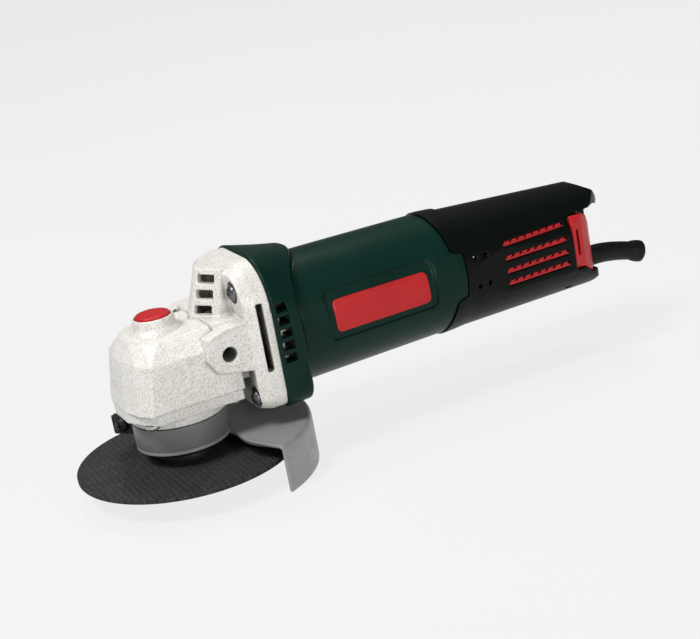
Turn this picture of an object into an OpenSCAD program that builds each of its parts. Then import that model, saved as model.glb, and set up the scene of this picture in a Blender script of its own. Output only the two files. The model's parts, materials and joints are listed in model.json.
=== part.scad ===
// Mains angle grinder for 100 mm discs, with a bevel gear head and a lever switch at its tail.
// +Z runs up along the spindle and +X runs back along the motor to the cord boot.
// The origin is the middle of the lock nut's outer face.

/* [Disc and lock nut] */
// Radius of the cutting disc
disc_r = 50; // [45:0.5:51]
// Thickness of the cutting disc
disc_t = 2; // [1:0.1:2.4]
// Radius of the disc's centre hole
disc_bore_r = 8; // [7:0.5:9]
// Radius of the lock nut
nut_r = 15; // [14:0.5:17]
// Thickness of the lock nut
nut_t = 5; // [4:0.5:6]
// Radius of the two pin spanner holes
spanner_hole_r = 2.1; // [1.8:0.1:2.5]
// Pitch circle diameter of the pin spanner holes
spanner_pitch = 20; // [18:1:22]
// Radius of the inner flange that the disc clamps against
inner_flange_r = 14; // [12:0.5:15]

/* [Gear head] */
// Height of the motor axis above the lock nut's face
motor_z = 53; // [52.5:0.5:54]
// Teeth of the spindle's bevel gear
gear_teeth = 37; // [36:1:38]
// Teeth of the motor's pinion
pinion_teeth = 11; // [11:1:12]
// Pitch radius of the spindle's gear at its outer end
gear_pitch_r = 20; // [19.8:0.1:20]
// Length of the teeth along the pitch cone
tooth_len = 6.3; // [5.5:0.1:6.3]
// Half width of the gear head
head_half_w = 26; // [25:0.5:27]
// Half width of the square flange
flange_half_w = 31.5; // [31:0.5:32]
// Height of the flange's top edge above the motor axis
flange_up = 36; // [35.5:0.5:36.5]
// Depth of the flange's bottom edge under the motor axis
flange_down = 29; // [28.5:0.5:30]
// Core radius of the side handle's thread
handle_hole_r = 3.4; // [3.4:0.1:3.6]
// Depth of the side handle's threaded hole
handle_hole_depth = 14; // [10:1:14]

/* [Spindle lock] */
// Radius of the lock button's cap
cap_r = 7.8; // [7:0.1:7.8]
// Travel of the lock button
lock_travel = 3.2; // [2.5:0.1:3.2]
// Radius of the lock pin
lock_pin_r = 2; // [1.8:0.1:2]

/* [Guard] */
// Outer radius of the guard's skirt
guard_r = 57.5; // [56:0.5:60]
// Sheet thickness of the guard
guard_t = 1.5; // [1.2:0.1:1.5]
// Lowest point of the guard's skirt, under the lock nut's face
guard_low = 6; // [3:0.5:8]
// Direction in which the guard's arc starts, in degrees from the tail
guard_start = -62; // [-70:1:-50]
// Angle that the guard covers
guard_arc = 154; // [148:1:170]
// Direction of the clamp's lugs, in degrees from the tail
lug_angle = 130; // [125:1:135]

/* [Motor and handle] */
// Outer radius of the motor housing behind its collar
barrel_r = 29.4; // [29:0.1:30]
// Outer radius of the motor housing where the handle starts
barrel_end_r = 28.3; // [28:0.1:28.5]
// Wall thickness of the handle shells
shell_wall = 2.6; // [2.2:0.1:2.8]
// Half width of the handle behind the brushes
handle_half_w = 25.6; // [25:0.1:26]
// Radius of the armature
armature_r = 16.4; // [16:0.1:16.5]
// Number of fan blades
fan_blades = 11; // [7:1:15]

/* [Hidden] */
$fn = 64;

// A small overlap that makes cuts run clear of the faces they pass
cut = 1;
// Gap between two solids of one body that would otherwise share a curved face
seat = 0.05;

// Heights along the spindle
disc_z = nut_t;
inner_flange_z = disc_z + disc_t;
shoulder_z = 13.5;
bearing_z = 17;
bearing_h = 10;
hub_z = bearing_z + bearing_h;
gear_top_z = 46.6;
bush_z = 52.5;
spring_z = 60;
plateau_z = motor_z + 12.6;
boss_top_z = plateau_z + 7;
cap_top_z = plateau_z + 8;
cap_low_z = plateau_z + 4.4;
joint_z = motor_z - 16.5;
head_wall_z = motor_z + 5;
collar_low_z = 15.6;
collar_top_z = 27.2;
box_plate_t = 5;
box_neck_r = 21.6;

// Spindle and its parts
thread_r = 4.9;
journal_r = 6;
gear_seat_r = 4.5;
top_journal_r = 3;
bearing_r = 16;
ring_step_r = 8.5;
collar_r = 19.6;
band_r = 21.4;
band_h = 10.8;
guard_neck_r = 20.6;
clamp_r = 29;
clamp_z = collar_low_z + 5.5;
lug_gap = 2.4;
lug_w = 6;
lug_len = 14;
lock_x = -7.2;
cap_x = -2.4;

// Stations along the motor axis
flange_front_x = 28.5;
rim_x = 33.6;
flange_x = 40.4;
slot_depth = 10.5;
collar_end_x = 53;
collar_x = 56.5;
crown_x = 64;
barrel_x = 126;
tongue_x = 138;
front_bearing_x = 27;
plate_x = 35;
fan_x = 44;
baffle_x = 57;
core_x = 70;
core_len = 42;
brush_x = 128;
rear_bearing_x = 141;
shell_end_x = 197;
cap_wall_x = 205;
boot_z = motor_z - 17;
pivot_x = 196;
pivot_z = motor_z + 6;
pivot_r = 1.5;
lever_w = 11.6;
brush_w = 8;
brush_h = 5;
inner_r = 26.1;
fan_room_r = 27.4;
handle_screw_y = 19;
clamp_x = 187.5;
clamp_screw_y = 6.5;

// Bevel gear sizes, on cones whose tips meet where the two axes cross
module_size = 2 * gear_pitch_r / gear_teeth;
gear_cone = atan(gear_teeth / pinion_teeth);
pinion_cone = 90 - gear_cone;
cone_len = gear_pitch_r / sin(gear_cone);
inner_share = (cone_len - tooth_len) / cone_len;
tooth_up = 0.8 * module_size;
tooth_down = 1.0 * module_size;
pressure_angle = 25;
tooth_fill = 0.86;

// Places of the four flange screws, as [y, height from the motor axis]
flange_screw_spots = [[-20.5, 25], [20.5, 25], [-24.5, -22.5], [24.5, -22.5]];
// Places of the four bearing box screws, as [x, y]
box_screw_spots = [[-18, -18.5], [-18, 18.5], [20, -18.5], [20, 18.5]];
// Places of the three handle screws, as [x, height from the motor axis]
handle_screw_spots = [[156, -19], [155, 15.5], [195.5, -21.5]];
// Directions and pitch radius of the three screws of the front bearing's plate
plate_screw_turns = [-90, 30, 150];
plate_screw_r = 17.5;
// Heights of the vent slots from the motor axis
vent_rows = [10, 3.4, -2.8, -8.6];
vent_x = 159.6;
vent_len = 34.2;
vent_high = 2.3;
// Outlines of the gear head seen from above, for the side at positive y: its lowest edge and
// the top of its upright walls, which lean in a little
head_low = [[24, head_half_w], [-19, head_half_w], [-23.5, 19], [-26, 8.5]];
head_top = [[24, head_half_w - 0.2], [-15.5, head_half_w - 0.5], [-20, 18], [-22.5, 8]];
head_roof = [[24, 15.5], [-8, 18], [-13.5, 14.5], [-17.5, 7]];

// Side view of the handle's outside, as [x, height from the motor axis]
handle_outline = [[barrel_x, 28.6], [165, 27.3], [200, 24.6], [208.3, 23.2], [213.7, 21.4],
    [217.9, 18.9], [221.9, 15.2], [223.9, 12.3], [223.2, 10.6], [221.2, 10.4], [217.6, 12.2],
    [214, 13], [shell_end_x, 13], [shell_end_x, -12.8], [202, -12.8], [208, -17.5],
    [212.5, -17.5], [212.5, -22.4],
    [211.2, -25.1], [208.9, -26.9], [205.5, -28], [200, -28.4], [barrel_x, -28.6]];
// Side view of the handle's hollow
handle_hollow = [[barrel_x - cut, 25.8], [165, 24.7], [200, 22], [210, 20.2], [216, 17.4],
    [220.3, 14], [220.3, 7], [shell_end_x + cut, 7], [shell_end_x + cut, -11],
    [207, -11], [209.9, -17], [209.9, -22.4], [207.4, -25.2], [200, -25.8], [barrel_x - cut, -25.8]];
// The handle's top is an arch about a line a little under the motor axis, with these radii
arch_drop = 1.5;
arch_r = 30;
arch_end_r = 22.7;
arch_len = 100;
// Half of the handle's outline seen from above, as [x, y]
handle_plan = [[barrel_x, 29], [140, 28.4], [158, handle_half_w], [196, 24.8], [203, 23],
    [209, 19.8], [214, 16], [219, 10.8], [223.9, 4.5]];
// Side view of the rear cap, and half of its outline and of its hollow seen from above
cap_outline = [[shell_end_x, 12.6], [203, 12.4], [207.4, 10.8], [211.2, 5.6], [213.5, -3],
    [213.5, -12], [211, -17.3], [208.2, -17.4], [202.2, -12.7], [shell_end_x, -12.7]];
cap_plan = [[shell_end_x, 24.7], [203, 23], [207.5, 20], [211, 15.4], [213.5, 9]];
cap_hollow = [[200, 20.8], [204, 19.6], [207, 16.6], [209.5, 12], [210.8, 7]];

// Bevel tooth functions: an involute in the developed back cone
function involute(a) = tan(a) * 180 / PI - a;
function flat_r(teeth, cone) = module_size * teeth / cos(cone) / 2;
function flank_angle(teeth, cone, h) =
    let(pitch = flat_r(teeth, cone), base = pitch * cos(pressure_angle))
    let(here = max(pitch + h, base))
    let(half = 90 * tooth_fill / (teeth / cos(cone)))
    (half + involute(pressure_angle) - involute(acos(base / here))) / cos(cone);
function tooth_point(cone, h, turn, share) = [
    share * (cone_len * sin(cone) + h * cos(cone)) * cos(turn),
    share * (cone_len * sin(cone) + h * cos(cone)) * sin(turn),
    share * (cone_len * cos(cone) - h * sin(cone))];

// A closed tooth from strips between matching heights on its two flanks
module bevel_tooth(teeth, cone) {
    levels = [-tooth_down - 0.25, -tooth_down / 2, 0, tooth_up / 2, tooth_up];
    n = len(levels);
    points = [for (share = [1, inner_share]) for (side = [-1, 1]) for (h = levels)
        tooth_point(cone, h, side * flank_angle(teeth, cone, h), share)];
    strips = [for (k = [0 : n - 2]) each [
        [n + k, n + k + 1, k + 1, k],
        [2 * n + k + 1, 3 * n + k + 1, 3 * n + k, 2 * n + k],
        [k + 1, 2 * n + k + 1, 2 * n + k, k],
        [3 * n + k, 3 * n + k + 1, n + k + 1, n + k]]];
    caps = [[2 * n, 3 * n, n, 0], [2 * n - 1, 4 * n - 1, 3 * n - 1, n - 1]];
    polyhedron(points = points, faces = concat(strips, caps));
}

// Shared shapes
module along_x(x, y = 0, z = motor_z) {
    translate([x, y, z]) rotate([0, 90, 0]) children();
}

module tube(r_out, r_in, h) {
    difference() {
        cylinder(r = r_out, h = h);
        translate([0, 0, -cut]) cylinder(r = r_in, h = h + 2 * cut);
    }
}

// A rounded square across the motor axis, with wider corners at its top than at its bottom
module flange_outline(half_w, up, down, top_r, low_r) {
    top_y = half_w - top_r;
    low_y = half_w - low_r;
    polygon([[half_w, up - top_r], [top_y, up], [-top_y, up], [-half_w, up - top_r],
        [-half_w, low_r - down], [-low_y, -down], [low_y, -down], [half_w, low_r - down]]);
    for (side = [-1, 1]) {
        translate([side * top_y, up - top_r]) circle(r = top_r);
        translate([side * low_y, low_r - down]) circle(r = low_r);
    }
}

// That rounded square extruded back along the motor from x for a length
module flange_block(x, length, half_w, up, down, top_r, low_r) {
    translate([x, 0, motor_z])
        rotate([90, 0, 90])
            linear_extrude(length) flange_outline(half_w, up, down, top_r, low_r);
}

// A side view outline with heights measured from the motor axis, made as thick as given
module side_slab(outline, half_w) {
    translate([0, half_w, motor_z])
        rotate([90, 0, 0])
            linear_extrude(2 * half_w) polygon(outline);
}

// A plan outline given for positive y, mirrored and extruded between two heights
module plan_slab(half, low, high) {
    n = len(half);
    mirrored = [for (k = [n - 1 : -1 : 0]) [half[k][0], -half[k][1]]];
    translate([0, 0, low]) linear_extrude(high - low) polygon(concat(half, mirrored));
}

// A cap screw along +Z with its head on top of z = 0
module screw(r, length, head_r, head_h) {
    difference() {
        union() {
            translate([0, 0, -length]) cylinder(r = r, h = length);
            cylinder(r = head_r, h = head_h);
        }
        for (turn = [0, 90])
            rotate([0, 0, turn])
                translate([-head_r * 0.6, -0.5, head_h - 1.4]) cube([head_r * 1.2, 1, 1.4 + cut]);
    }
}

// A round wire wound into separate closed rings along +Z
module ring_spring(r, wire, h, turns) {
    for (k = [0 : turns - 1])
        translate([0, 0, wire + k * (h - 2 * wire) / (turns - 1)])
            rotate_extrude() translate([r, 0]) circle(r = wire, $fn = 16);
    translate([r - 0.3, -0.3, wire]) cube([0.6, 0.6, h - 2 * wire]);
}

// A sector of a tube along the motor, centred on a direction measured from +Z
module sector_tube(x, length, r_out, r_in, half_angle, direction) {
    reach = 2 * r_out;
    edge = [reach * cos(half_angle), reach * sin(half_angle)];
    along_x(x) rotate([0, 0, 180 - direction])
        intersection() {
            tube(r_out, r_in, length);
            linear_extrude(length)
                polygon([[0, 0], [edge[0], -edge[1]], [reach, -edge[1]], [reach, edge[1]], edge]);
        }
}

// Gear head
module head_shape() {
    hull() {
        plan_slab(head_low, joint_z, joint_z + 0.1);
        plan_slab(head_top, head_wall_z - 0.1, head_wall_z);
    }
    hull() {
        plan_slab(head_top, head_wall_z - 0.1, head_wall_z);
        plan_slab(head_roof, plateau_z - 0.1, plateau_z);
    }
}

// The flange: a sloping front and an upright rim
module flange_shape() {
    hull() {
        flange_block(flange_front_x, 0.1, flange_half_w - 2, flange_up - 4, flange_down - 1.5,
            12, 5, $fn = 32);
        flange_block(rim_x, 0.1, flange_half_w, flange_up, flange_down, 21, 6, $fn = 32);
    }
    flange_block(rim_x, flange_x - rim_x, flange_half_w, flange_up, flange_down, 21, 6);
}

// The air duct over the gears: two sloping facets that meet in a ridge
module duct_shape(inset) {
    low = motor_z + 11;
    high = motor_z + flange_up - 1.5 - inset;
    hull() {
        plan_slab([[flange_front_x + 2, 15 - inset], [21.5 + inset, 15 - inset],
            [12.5 + inset, 1.5]], low, low + 0.1);
        plan_slab([[flange_front_x + 2, 13.5 - inset], [27.5 + inset, 13.5 - inset],
            [20.5 + inset, 1.5]], high - 0.1, high);
    }
}

module vent_slots() {
    slot = [9.4, 14, 3.9];
    first = [18.5, 7.2, motor_z + 17];
    rise = [1.9, 0, 6.6];
    for (side = [-1, 1])
        for (k = [0 : 2])
            translate([first[0] + k * rise[0], side * first[1], first[2] + k * rise[2]])
                rotate([0, 0, side * 57]) translate(-slot / 2) cube(slot);
}

module side_pads() {
    for (side = [-1, 1])
        translate([0, side > 0 ? 29.6 : -23, motor_z])
            rotate([90, 0, 0])
                linear_extrude(6.6)
                    polygon([[30, -9], [12.5, -5.5], [8.5, 1], [9.5, 10.5], [17, 13], [30, 14]]);
}

module gear_housing() {
    color("gainsboro")
    difference() {
        union() {
            head_shape();
            duct_shape(0);
            side_pads();
            flange_shape();
            translate([16, -22, joint_z + 3]) cube([flange_front_x - 15, 44, 28]);
            translate([cap_x, 0, plateau_z - 1])
                cylinder(r1 = 10, r2 = 9.1, h = boss_top_z - plateau_z + 1);
        }
        rotate_extrude() polygon([[0, joint_z - cut], [21.6, joint_z - cut], [21.6, 50.5],
            [13, 61], [7.6, 61], [7.6, bush_z], [4.5, bush_z], [4.5, 59.5], [0, 59.5]]);
        along_x(8) cylinder(r = 8.4, h = front_bearing_x - 8 + seat);
        along_x(front_bearing_x) cylinder(r = 13, h = flange_x);
        along_x(plate_x) cylinder(r = 22, h = flange_x);
        flange_block(36.5, flange_x, flange_half_w - 5, 17, flange_down - 10.5, 6, 6);
        duct_shape(2.6);
        translate([flange_front_x, -12, motor_z + 18]) cube([flange_x, 24, 14]);
        vent_slots();
        translate([lock_x, 0, bush_z - cut]) cylinder(r = lock_pin_r + seat, h = 30);
        translate([lock_x, 0, spring_z]) cylinder(r = 3.9, h = plateau_z - spring_z);
        translate([cap_x, 0, plateau_z - 1]) cylinder(r = cap_r + 0.3, h = 30);
        for (side = [-1, 1])
            translate([34, side > 0 ? flange_half_w - slot_depth : -flange_half_w - cut, motor_z - 11])
                cube([3, slot_depth + cut, 31]);
        handle_holes();
        for (spot = flange_screw_spots) {
            along_x(0, spot[0], motor_z + spot[1]) cylinder(r = 2.6, h = flange_x + cut);
            along_x(flange_front_x - 12, spot[0], motor_z + spot[1]) cylinder(r = 4.9, h = 13.2);
        }
        for (spot = box_screw_spots)
            translate([spot[0], spot[1], joint_z - cut]) cylinder(r = 2, h = 9 + cut);
        for (turn = plate_screw_turns)
            along_x(plate_x - 6, plate_screw_r * cos(turn), motor_z + plate_screw_r * sin(turn))
                cylinder(r = 1.45, h = 7);
    }
}

module handle_holes() {
    for (side = [-1, 1])
        translate([19, side * (29.6 - handle_hole_depth), motor_z + 1.6])
            rotate([-side * 90, 0, 0]) cylinder(r = handle_hole_r, h = handle_hole_depth + cut);
}

module bearing_box() {
    color("gainsboro")
    difference() {
        union() {
            plan_slab([[23.5, 24.5], [-16.5, 24.5], [-21.5, 18], [-25.8, 8]],
                joint_z - box_plate_t, joint_z);
            translate([0, 0, collar_top_z - 0.4])
                cylinder(r = box_neck_r, h = joint_z - box_plate_t - collar_top_z + cut);
            translate([0, 0, collar_low_z]) cylinder(r = collar_r, h = 14);
        }
        rotate_extrude() polygon([[0, collar_low_z - cut], [12.6, collar_low_z - cut],
            [12.6, bearing_z], [bearing_r, bearing_z], [bearing_r, hub_z + 0.2],
            [17, hub_z + 0.2], [17, hub_z + 1.4], [bearing_r, hub_z + 1.4],
            [bearing_r, hub_z + 2.5], [20.4, hub_z + 3.5], [20.4, joint_z + cut],
            [0, joint_z + cut]]);
        for (spot = box_screw_spots)
            translate([spot[0], spot[1], joint_z - 7]) cylinder(r = 2.2, h = 9);
    }
}

module bearing_box_screws() {
    color("silver")
    for (spot = box_screw_spots)
        translate([spot[0], spot[1], joint_z - box_plate_t])
            mirror([0, 0, 1]) screw(1.95, 12, 3.5, 3);
}

module flange_screws() {
    color("dimgray")
    for (spot = flange_screw_spots)
        translate([flange_front_x + 1.2, spot[0], motor_z + spot[1]])
            rotate([0, -90, 0]) screw(2.4, 20, 3.7, 3.6);
}

module spindle_bearing_outer() {
    color("lightsteelblue")
    translate([0, 0, bearing_z]) tube(bearing_r, ring_step_r + 0.3, bearing_h);
}

module bearing_circlip() {
    color("dimgray")
    translate([0, 0, hub_z + 0.25])
        difference() {
            tube(16.9, 14, 1.1);
            translate([10, -3, -cut]) cube([10, 6, 4]);
        }
}

module spindle_bush() {
    color("peru")
    translate([0, 0, bush_z + 0.2]) tube(gear_seat_r, top_journal_r + seat, 6.8);
}

module front_bearing_outer() {
    color("lightsteelblue")
    along_x(front_bearing_x) tube(13, 8, plate_x - front_bearing_x);
}

module front_bearing_plate() {
    color("silver")
    difference() {
        along_x(plate_x) tube(21, 9, 1.5);
        for (turn = plate_screw_turns)
            along_x(plate_x - cut, plate_screw_r * cos(turn), motor_z + plate_screw_r * sin(turn))
                cylinder(r = 1.7, h = 4);
    }
}

module front_plate_screws() {
    color("dimgray")
    for (turn = plate_screw_turns)
        translate([plate_x + 1.5, plate_screw_r * cos(turn), motor_z + plate_screw_r * sin(turn)])
            rotate([0, 90, 0]) screw(1.4, 7, 2.6, 1.8);
}

module fan_baffle() {
    color("darkslategray")
    along_x(baffle_x) {
        tube(27.3, 18, 1.5);
        tube(27.3, 26, 2.9);
    }
}

// Motor housing
module brush_windows() {
    for (side = [-1, 1])
        translate([brush_x - 4.9, side > 0 ? 12 : -25.8, motor_z - 3.4])
            cube([brush_w + 1.8, 13.8, brush_h + 1.8]);
}

module label_ring(x, length, low, high, r_out, r_in) {
    intersection() {
        along_x(x) tube(r_out, r_in, length);
        union()
            for (side = [-1, 1])
                translate([x, side > 0 ? 15 : -45, motor_z + low]) cube([length, 30, high - low]);
    }
}

module motor_housing() {
    color("darkgreen")
    difference() {
        union() {
            hull() {
                flange_block(flange_x, 0.1, 33, flange_up + 0.8, flange_down + 1.5,
                    22, 8, $fn = 32);
                flange_block(collar_end_x, 0.1, 32.6, 35.6, flange_down + 1.5, 30, 9, $fn = 32);
            }
            hull() {
                flange_block(collar_end_x, 0.1, 32.6, 35.6, flange_down + 1.5, 30, 9, $fn = 32);
                flange_block(collar_x, 0.1, 31, 33.4, flange_down, 29, 10, $fn = 32);
                flange_block(crown_x, 0.1, 9, 32.2, -20, 8.9, 2, $fn = 32);
            }
            along_x(collar_x - cut)
                cylinder(r1 = barrel_r, r2 = barrel_end_r, h = barrel_x - collar_x + cut);
            for (direction = [-90, 90])
                sector_tube(barrel_x - 2, tongue_x - barrel_x + 2, barrel_end_r, inner_r, 24, direction);
            for (side = [-1, 1]) {
                translate([119, -6, motor_z + (side > 0 ? 21.5 : -27)]) cube([6, 12, 5.5]);
                translate([119, -6, motor_z + (side > 0 ? 20 : -24.6)]) cube([30, 12, 3.1]);
                translate([rear_bearing_x, -6, motor_z + (side > 0 ? 12 : -23)]) cube([8, 12, 11]);
                translate([brush_x - 8, side > 0 ? 21 : -27, motor_z - 6.5]) cube([16, 6, 13]);
            }
            along_x(rear_bearing_x - 2) cylinder(r = 14, h = 10);
        }
        along_x(flange_x - cut) cylinder(r = fan_room_r, h = baffle_x + 3 - flange_x + cut);
        difference() {
            along_x(baffle_x + 2) cylinder(r = inner_r, h = rear_bearing_x - baffle_x - 4);
            for (side = [-1, 1]) {
                translate([119, -6, motor_z + (side > 0 ? 20 : -27)]) cube([40, 12, 7]);
                translate([brush_x - 8, side > 0 ? 21 : -27, motor_z - 6.5]) cube([16, 6, 13]);
            }
        }
        along_x(rear_bearing_x - 2 - cut) cylinder(r = 11, h = 9);
        along_x(rear_bearing_x) cylinder(r = 5, h = 20);
        brush_windows();
        label_ring(67.5, 53.5, -8, 15.5, 32, 27.6);
        for (side = [-1, 1])
            for (k = [0 : 4])
                translate([42.5, side > 0 ? 17 : -35, motor_z - 9 + 5.7 * k])
                    cube([5, 18, 3.6]);
        for (spot = flange_screw_spots)
            along_x(flange_x - cut, spot[0], motor_z + spot[1]) cylinder(r = 2.45, h = 11);
    }
}

module label_plates() {
    color("firebrick")
    label_ring(69.5, 49, -4.6, 10.6, 28.5, 27.65);
}

module coil_ring(grow, direction) {
    difference() {
        sector_tube(62 - grow, 57 + 2 * grow, 23.6 + grow, 17.7 - grow, 62 + 2 * grow, direction);
        sector_tube(core_x + 0.5 + grow, core_len - 1 - 2 * grow, 30, 10, 42 - 2 * grow, direction);
    }
}

module stator_core() {
    color("slategray")
    difference() {
        along_x(core_x) tube(26, 17.2, core_len);
        for (direction = [0, 180])
            coil_ring(0.3, direction);
    }
}

module field_coils() {
    color("orangered")
    for (direction = [0, 180])
        coil_ring(0, direction);
}

module rear_bearing_outer() {
    color("lightsteelblue")
    along_x(rear_bearing_x) tube(9.5, 5.8, 6);
}

module rear_bearing_sleeve() {
    color("black")
    along_x(rear_bearing_x) tube(10.95, 9.5, 6);
}

module brush_holders() {
    color("goldenrod")
    for (side = [-1, 1])
        difference() {
            translate([brush_x - 4.85, side > 0 ? 13.2 : -25.6, motor_z - 3.35])
                cube([9.7, 12.4, 6.7]);
            translate([brush_x - 4.05, side > 0 ? 12 : -24.8, motor_z - 2.6])
                cube([8.1, 12.8, 5.2]);
        }
}

module carbon_brushes() {
    color("black")
    for (side = [-1, 1])
        translate([brush_x - brush_w / 2, side > 0 ? 11.8 : -19.8, motor_z - brush_h / 2])
            cube([brush_w, 8, brush_h]);
}

module brush_springs() {
    color("silver")
    for (side = [-1, 1])
        translate([brush_x, side * 19.9, motor_z])
            rotate([-side * 90, 0, 0]) ring_spring(1.9, 0.3, 4.8, 5);
}

// Handle
module handle_body() {
    intersection() {
        side_slab(handle_outline, 40);
        plan_slab(handle_plan, 0, 2 * motor_z);
        along_x(barrel_x) cylinder(r1 = barrel_end_r + 0.2, r2 = 27.6, h = arch_len);
        handle_arch(0);
    }
}

// Everything under the handle's arched top
module handle_arch(inset) {
    along_x(barrel_x - cut, 0, motor_z - arch_drop)
        cylinder(r1 = arch_r - inset, r2 = arch_end_r - inset, h = arch_len + cut);
    translate([barrel_x - cut, -arch_r, 0])
        cube([arch_len + cut, 2 * arch_r, motor_z - arch_drop]);
}

module handle_space() {
    intersection() {
        side_slab(handle_hollow, 40);
        plan_slab([for (p = handle_plan) [p[0] + (p[0] < 130 ? -cut : -1), p[1] - shell_wall]],
            0, 2 * motor_z);
        along_x(barrel_x - cut) cylinder(r1 = barrel_end_r - shell_wall, r2 = 25, h = arch_len + cut);
        handle_arch(shell_wall);
    }
}

module small_vents() {
    for (x = [143.5, 149.3])
        for (z = [8.6, -4.8])
            translate([x - 1, -40, motor_z + z - 1]) cube([2, 80, 2]);
}

module handle_half(side) {
    difference() {
        union() {
            difference() {
                handle_body();
                handle_space();
            }
            for (spot = handle_screw_spots)
                intersection() {
                    handle_body();
                    translate([spot[0], 40, motor_z + spot[1]])
                        rotate([90, 0, 0]) cylinder(r = 3.7, h = 80);
                }
        }
        translate([100, side > 0 ? -60 : 0, 0]) cube([150, 60, 120]);
        for (direction = [-90, 90])
            sector_tube(barrel_x - cut, tongue_x - barrel_x + cut + 0.1, 40, 24, 24.2, direction);
        for (z = vent_rows)
            translate([vent_x, -40, motor_z + z - vent_high / 2]) cube([vent_len, 80, vent_high]);
        small_vents();
        along_x(shell_end_x - cut, 0, boot_z) cylinder(r = 5.25, h = 30);
        for (spot = handle_screw_spots) {
            translate([spot[0], handle_screw_y, motor_z + spot[1]])
                rotate([-90, 0, 0]) cylinder(r = 3.2, h = 20);
            translate([spot[0], -17, motor_z + spot[1]])
                rotate([-90, 0, 0]) cylinder(r = side > 0 ? 1.9 : 1.75, h = 38);
        }
    }
}

module handle_shell_left() {
    color([0.05, 0.09, 0.08]) handle_half(-1);
}

module handle_shell_right() {
    color([0.05, 0.09, 0.08]) handle_half(1);
}

module handle_screws() {
    color("dimgray")
    for (spot = handle_screw_spots)
        translate([spot[0], handle_screw_y, motor_z + spot[1]])
            rotate([-90, 0, 0]) screw(1.7, 34, 3, 2.2);
}

module vent_insert() {
    color("crimson")
    for (side = [-1, 1])
        difference() {
            intersection() {
                translate([157, side > 0 ? 20.6 : -22.1, motor_z - 10.6]) cube([37.6, 1.5, 22.4]);
                handle_arch(shell_wall + 0.15);
            }
            for (z = vent_rows)
                for (k = [0 : 6])
                    translate([162 + 4.7 * k, -40, motor_z + z - 0.7])
                        rotate([0, -35, 0]) cube([2.2, 80, 1.2]);
        }
}

module rear_cap() {
    color("crimson")
    difference() {
        intersection() {
            side_slab(cap_outline, 40);
            plan_slab(cap_plan, 0, 2 * motor_z);
            along_x(shell_end_x) cylinder(r = 26, h = 30);
        }
        plan_slab(cap_hollow, motor_z - 14.5, motor_z + 9.8);
        translate([200, -10.2, motor_z + 1.4]) cube([20, 20.4, 20]);
        along_x(200, 0, boot_z) cylinder(r = 5.25, h = 30);
        translate([shell_end_x - cut, -20.8, motor_z - 20])
            cube([cap_wall_x - shell_end_x + cut, 41.6, 40]);
        for (side = [-1, 1])
            translate([199, side > 0 ? 19.2 : -26.2, motor_z - 6.3]) cube([1.4, 7, 12.4]);
    }
}

module switch_body() {
    color("dimgray")
    union() {
        translate([172, -8, motor_z]) cube([18, 16, 19]);
        for (side = [-1, 1])
            translate([189, side > 0 ? 6.2 : -8, motor_z]) cube([11, 1.8, 12]);
        translate([pivot_x, -6.4, pivot_z]) rotate([-90, 0, 0]) cylinder(r = pivot_r, h = 12.8);
    }
}

module switch_lever() {
    color([0.08, 0.08, 0.08])
    difference() {
        union() {
            translate([pivot_x, -lever_w / 2, pivot_z])
                rotate([-90, 0, 0]) cylinder(r = 3.2, h = lever_w);
            translate([pivot_x, -lever_w / 2, pivot_z - 1.4]) cube([17, lever_w, 3.6]);
            translate([pivot_x + 15.5, -lever_w / 2, pivot_z - 1.8]) cube([4.2, lever_w, 4.8]);
        }
        translate([pivot_x, -lever_w / 2 - cut, pivot_z])
            rotate([-90, 0, 0]) cylinder(r = pivot_r + 0.06, h = lever_w + 2 * cut);
    }
}

module capacitor() {
    color("khaki")
    translate([160, -5.5, motor_z + 4]) cube([11, 11, 12]);
}

module cord_clamp() {
    color("dimgray")
    difference() {
        translate([clamp_x - 3.5, -9, motor_z - 14]) cube([7, 18, 3]);
        for (side = [-1, 1])
            translate([clamp_x, side * clamp_screw_y, motor_z - 15]) cylinder(r = 1.5, h = 6);
    }
}

module cord_clamp_screws() {
    color("silver")
    for (side = [-1, 1])
        translate([clamp_x, side * clamp_screw_y, motor_z - 11]) screw(1.4, 9, 2.5, 1.8);
}

// Cord boot: a flared tube that droops a little towards its end
boot_start_x = 201;
boot_len = 46.5;
boot_rings = 16;
boot_sides = 32;
cord_bore_r = 3.4;
cord_bore_depth = 14;
boot_fall = 5.6;
boot_bend = 1.6;
straight = 0.45;
bead = 0.88;
function bend_share(t) = max(t - straight, 0) / (1 - straight);
function boot_drop(t) = -boot_fall * pow(bend_share(t), boot_bend);
function boot_slope(t) = boot_fall * boot_bend * pow(bend_share(t), boot_bend - 1) / (1 - straight);
function boot_lean(t) = -atan(boot_slope(t) / boot_len);
function boot_radius(t) = t < bead ? 5.2 - 0.8 * t / bead : 4.4 + 0.9 * sin((t - bead) / (1 - bead) * 90);
function boot_point(t) = [boot_start_x + boot_len * t, 0, boot_z + boot_drop(t)];
function boot_heading(t) = [cos(boot_lean(t)), 0, sin(boot_lean(t))];

// One ring of a swept tube, square to its heading
function unit(v) = v / norm(v);
function tube_ring(centre, heading, r, sides) =
    let(across = unit(cross([0, 0, 1], heading)), up = cross(heading, across))
    [for (k = [0 : sides - 1])
        centre + r * (cos(360 * k / sides) * across + sin(360 * k / sides) * up)];

// A closed tube through a list of rings that each have the same number of points
module ringed_tube(rings) {
    n = len(rings[0]);
    last = len(rings) - 1;
    sides = [for (i = [0 : last - 1]) for (k = [0 : n - 1])
        [(i + 1) * n + k, (i + 1) * n + (k + 1) % n, i * n + (k + 1) % n, i * n + k]];
    start_cap = [[for (k = [0 : n - 1]) k]];
    end_cap = [[for (k = [n - 1 : -1 : 0]) last * n + k]];
    polyhedron(points = [for (ring = rings) each ring], faces = concat(sides, start_cap, end_cap));
}

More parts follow.
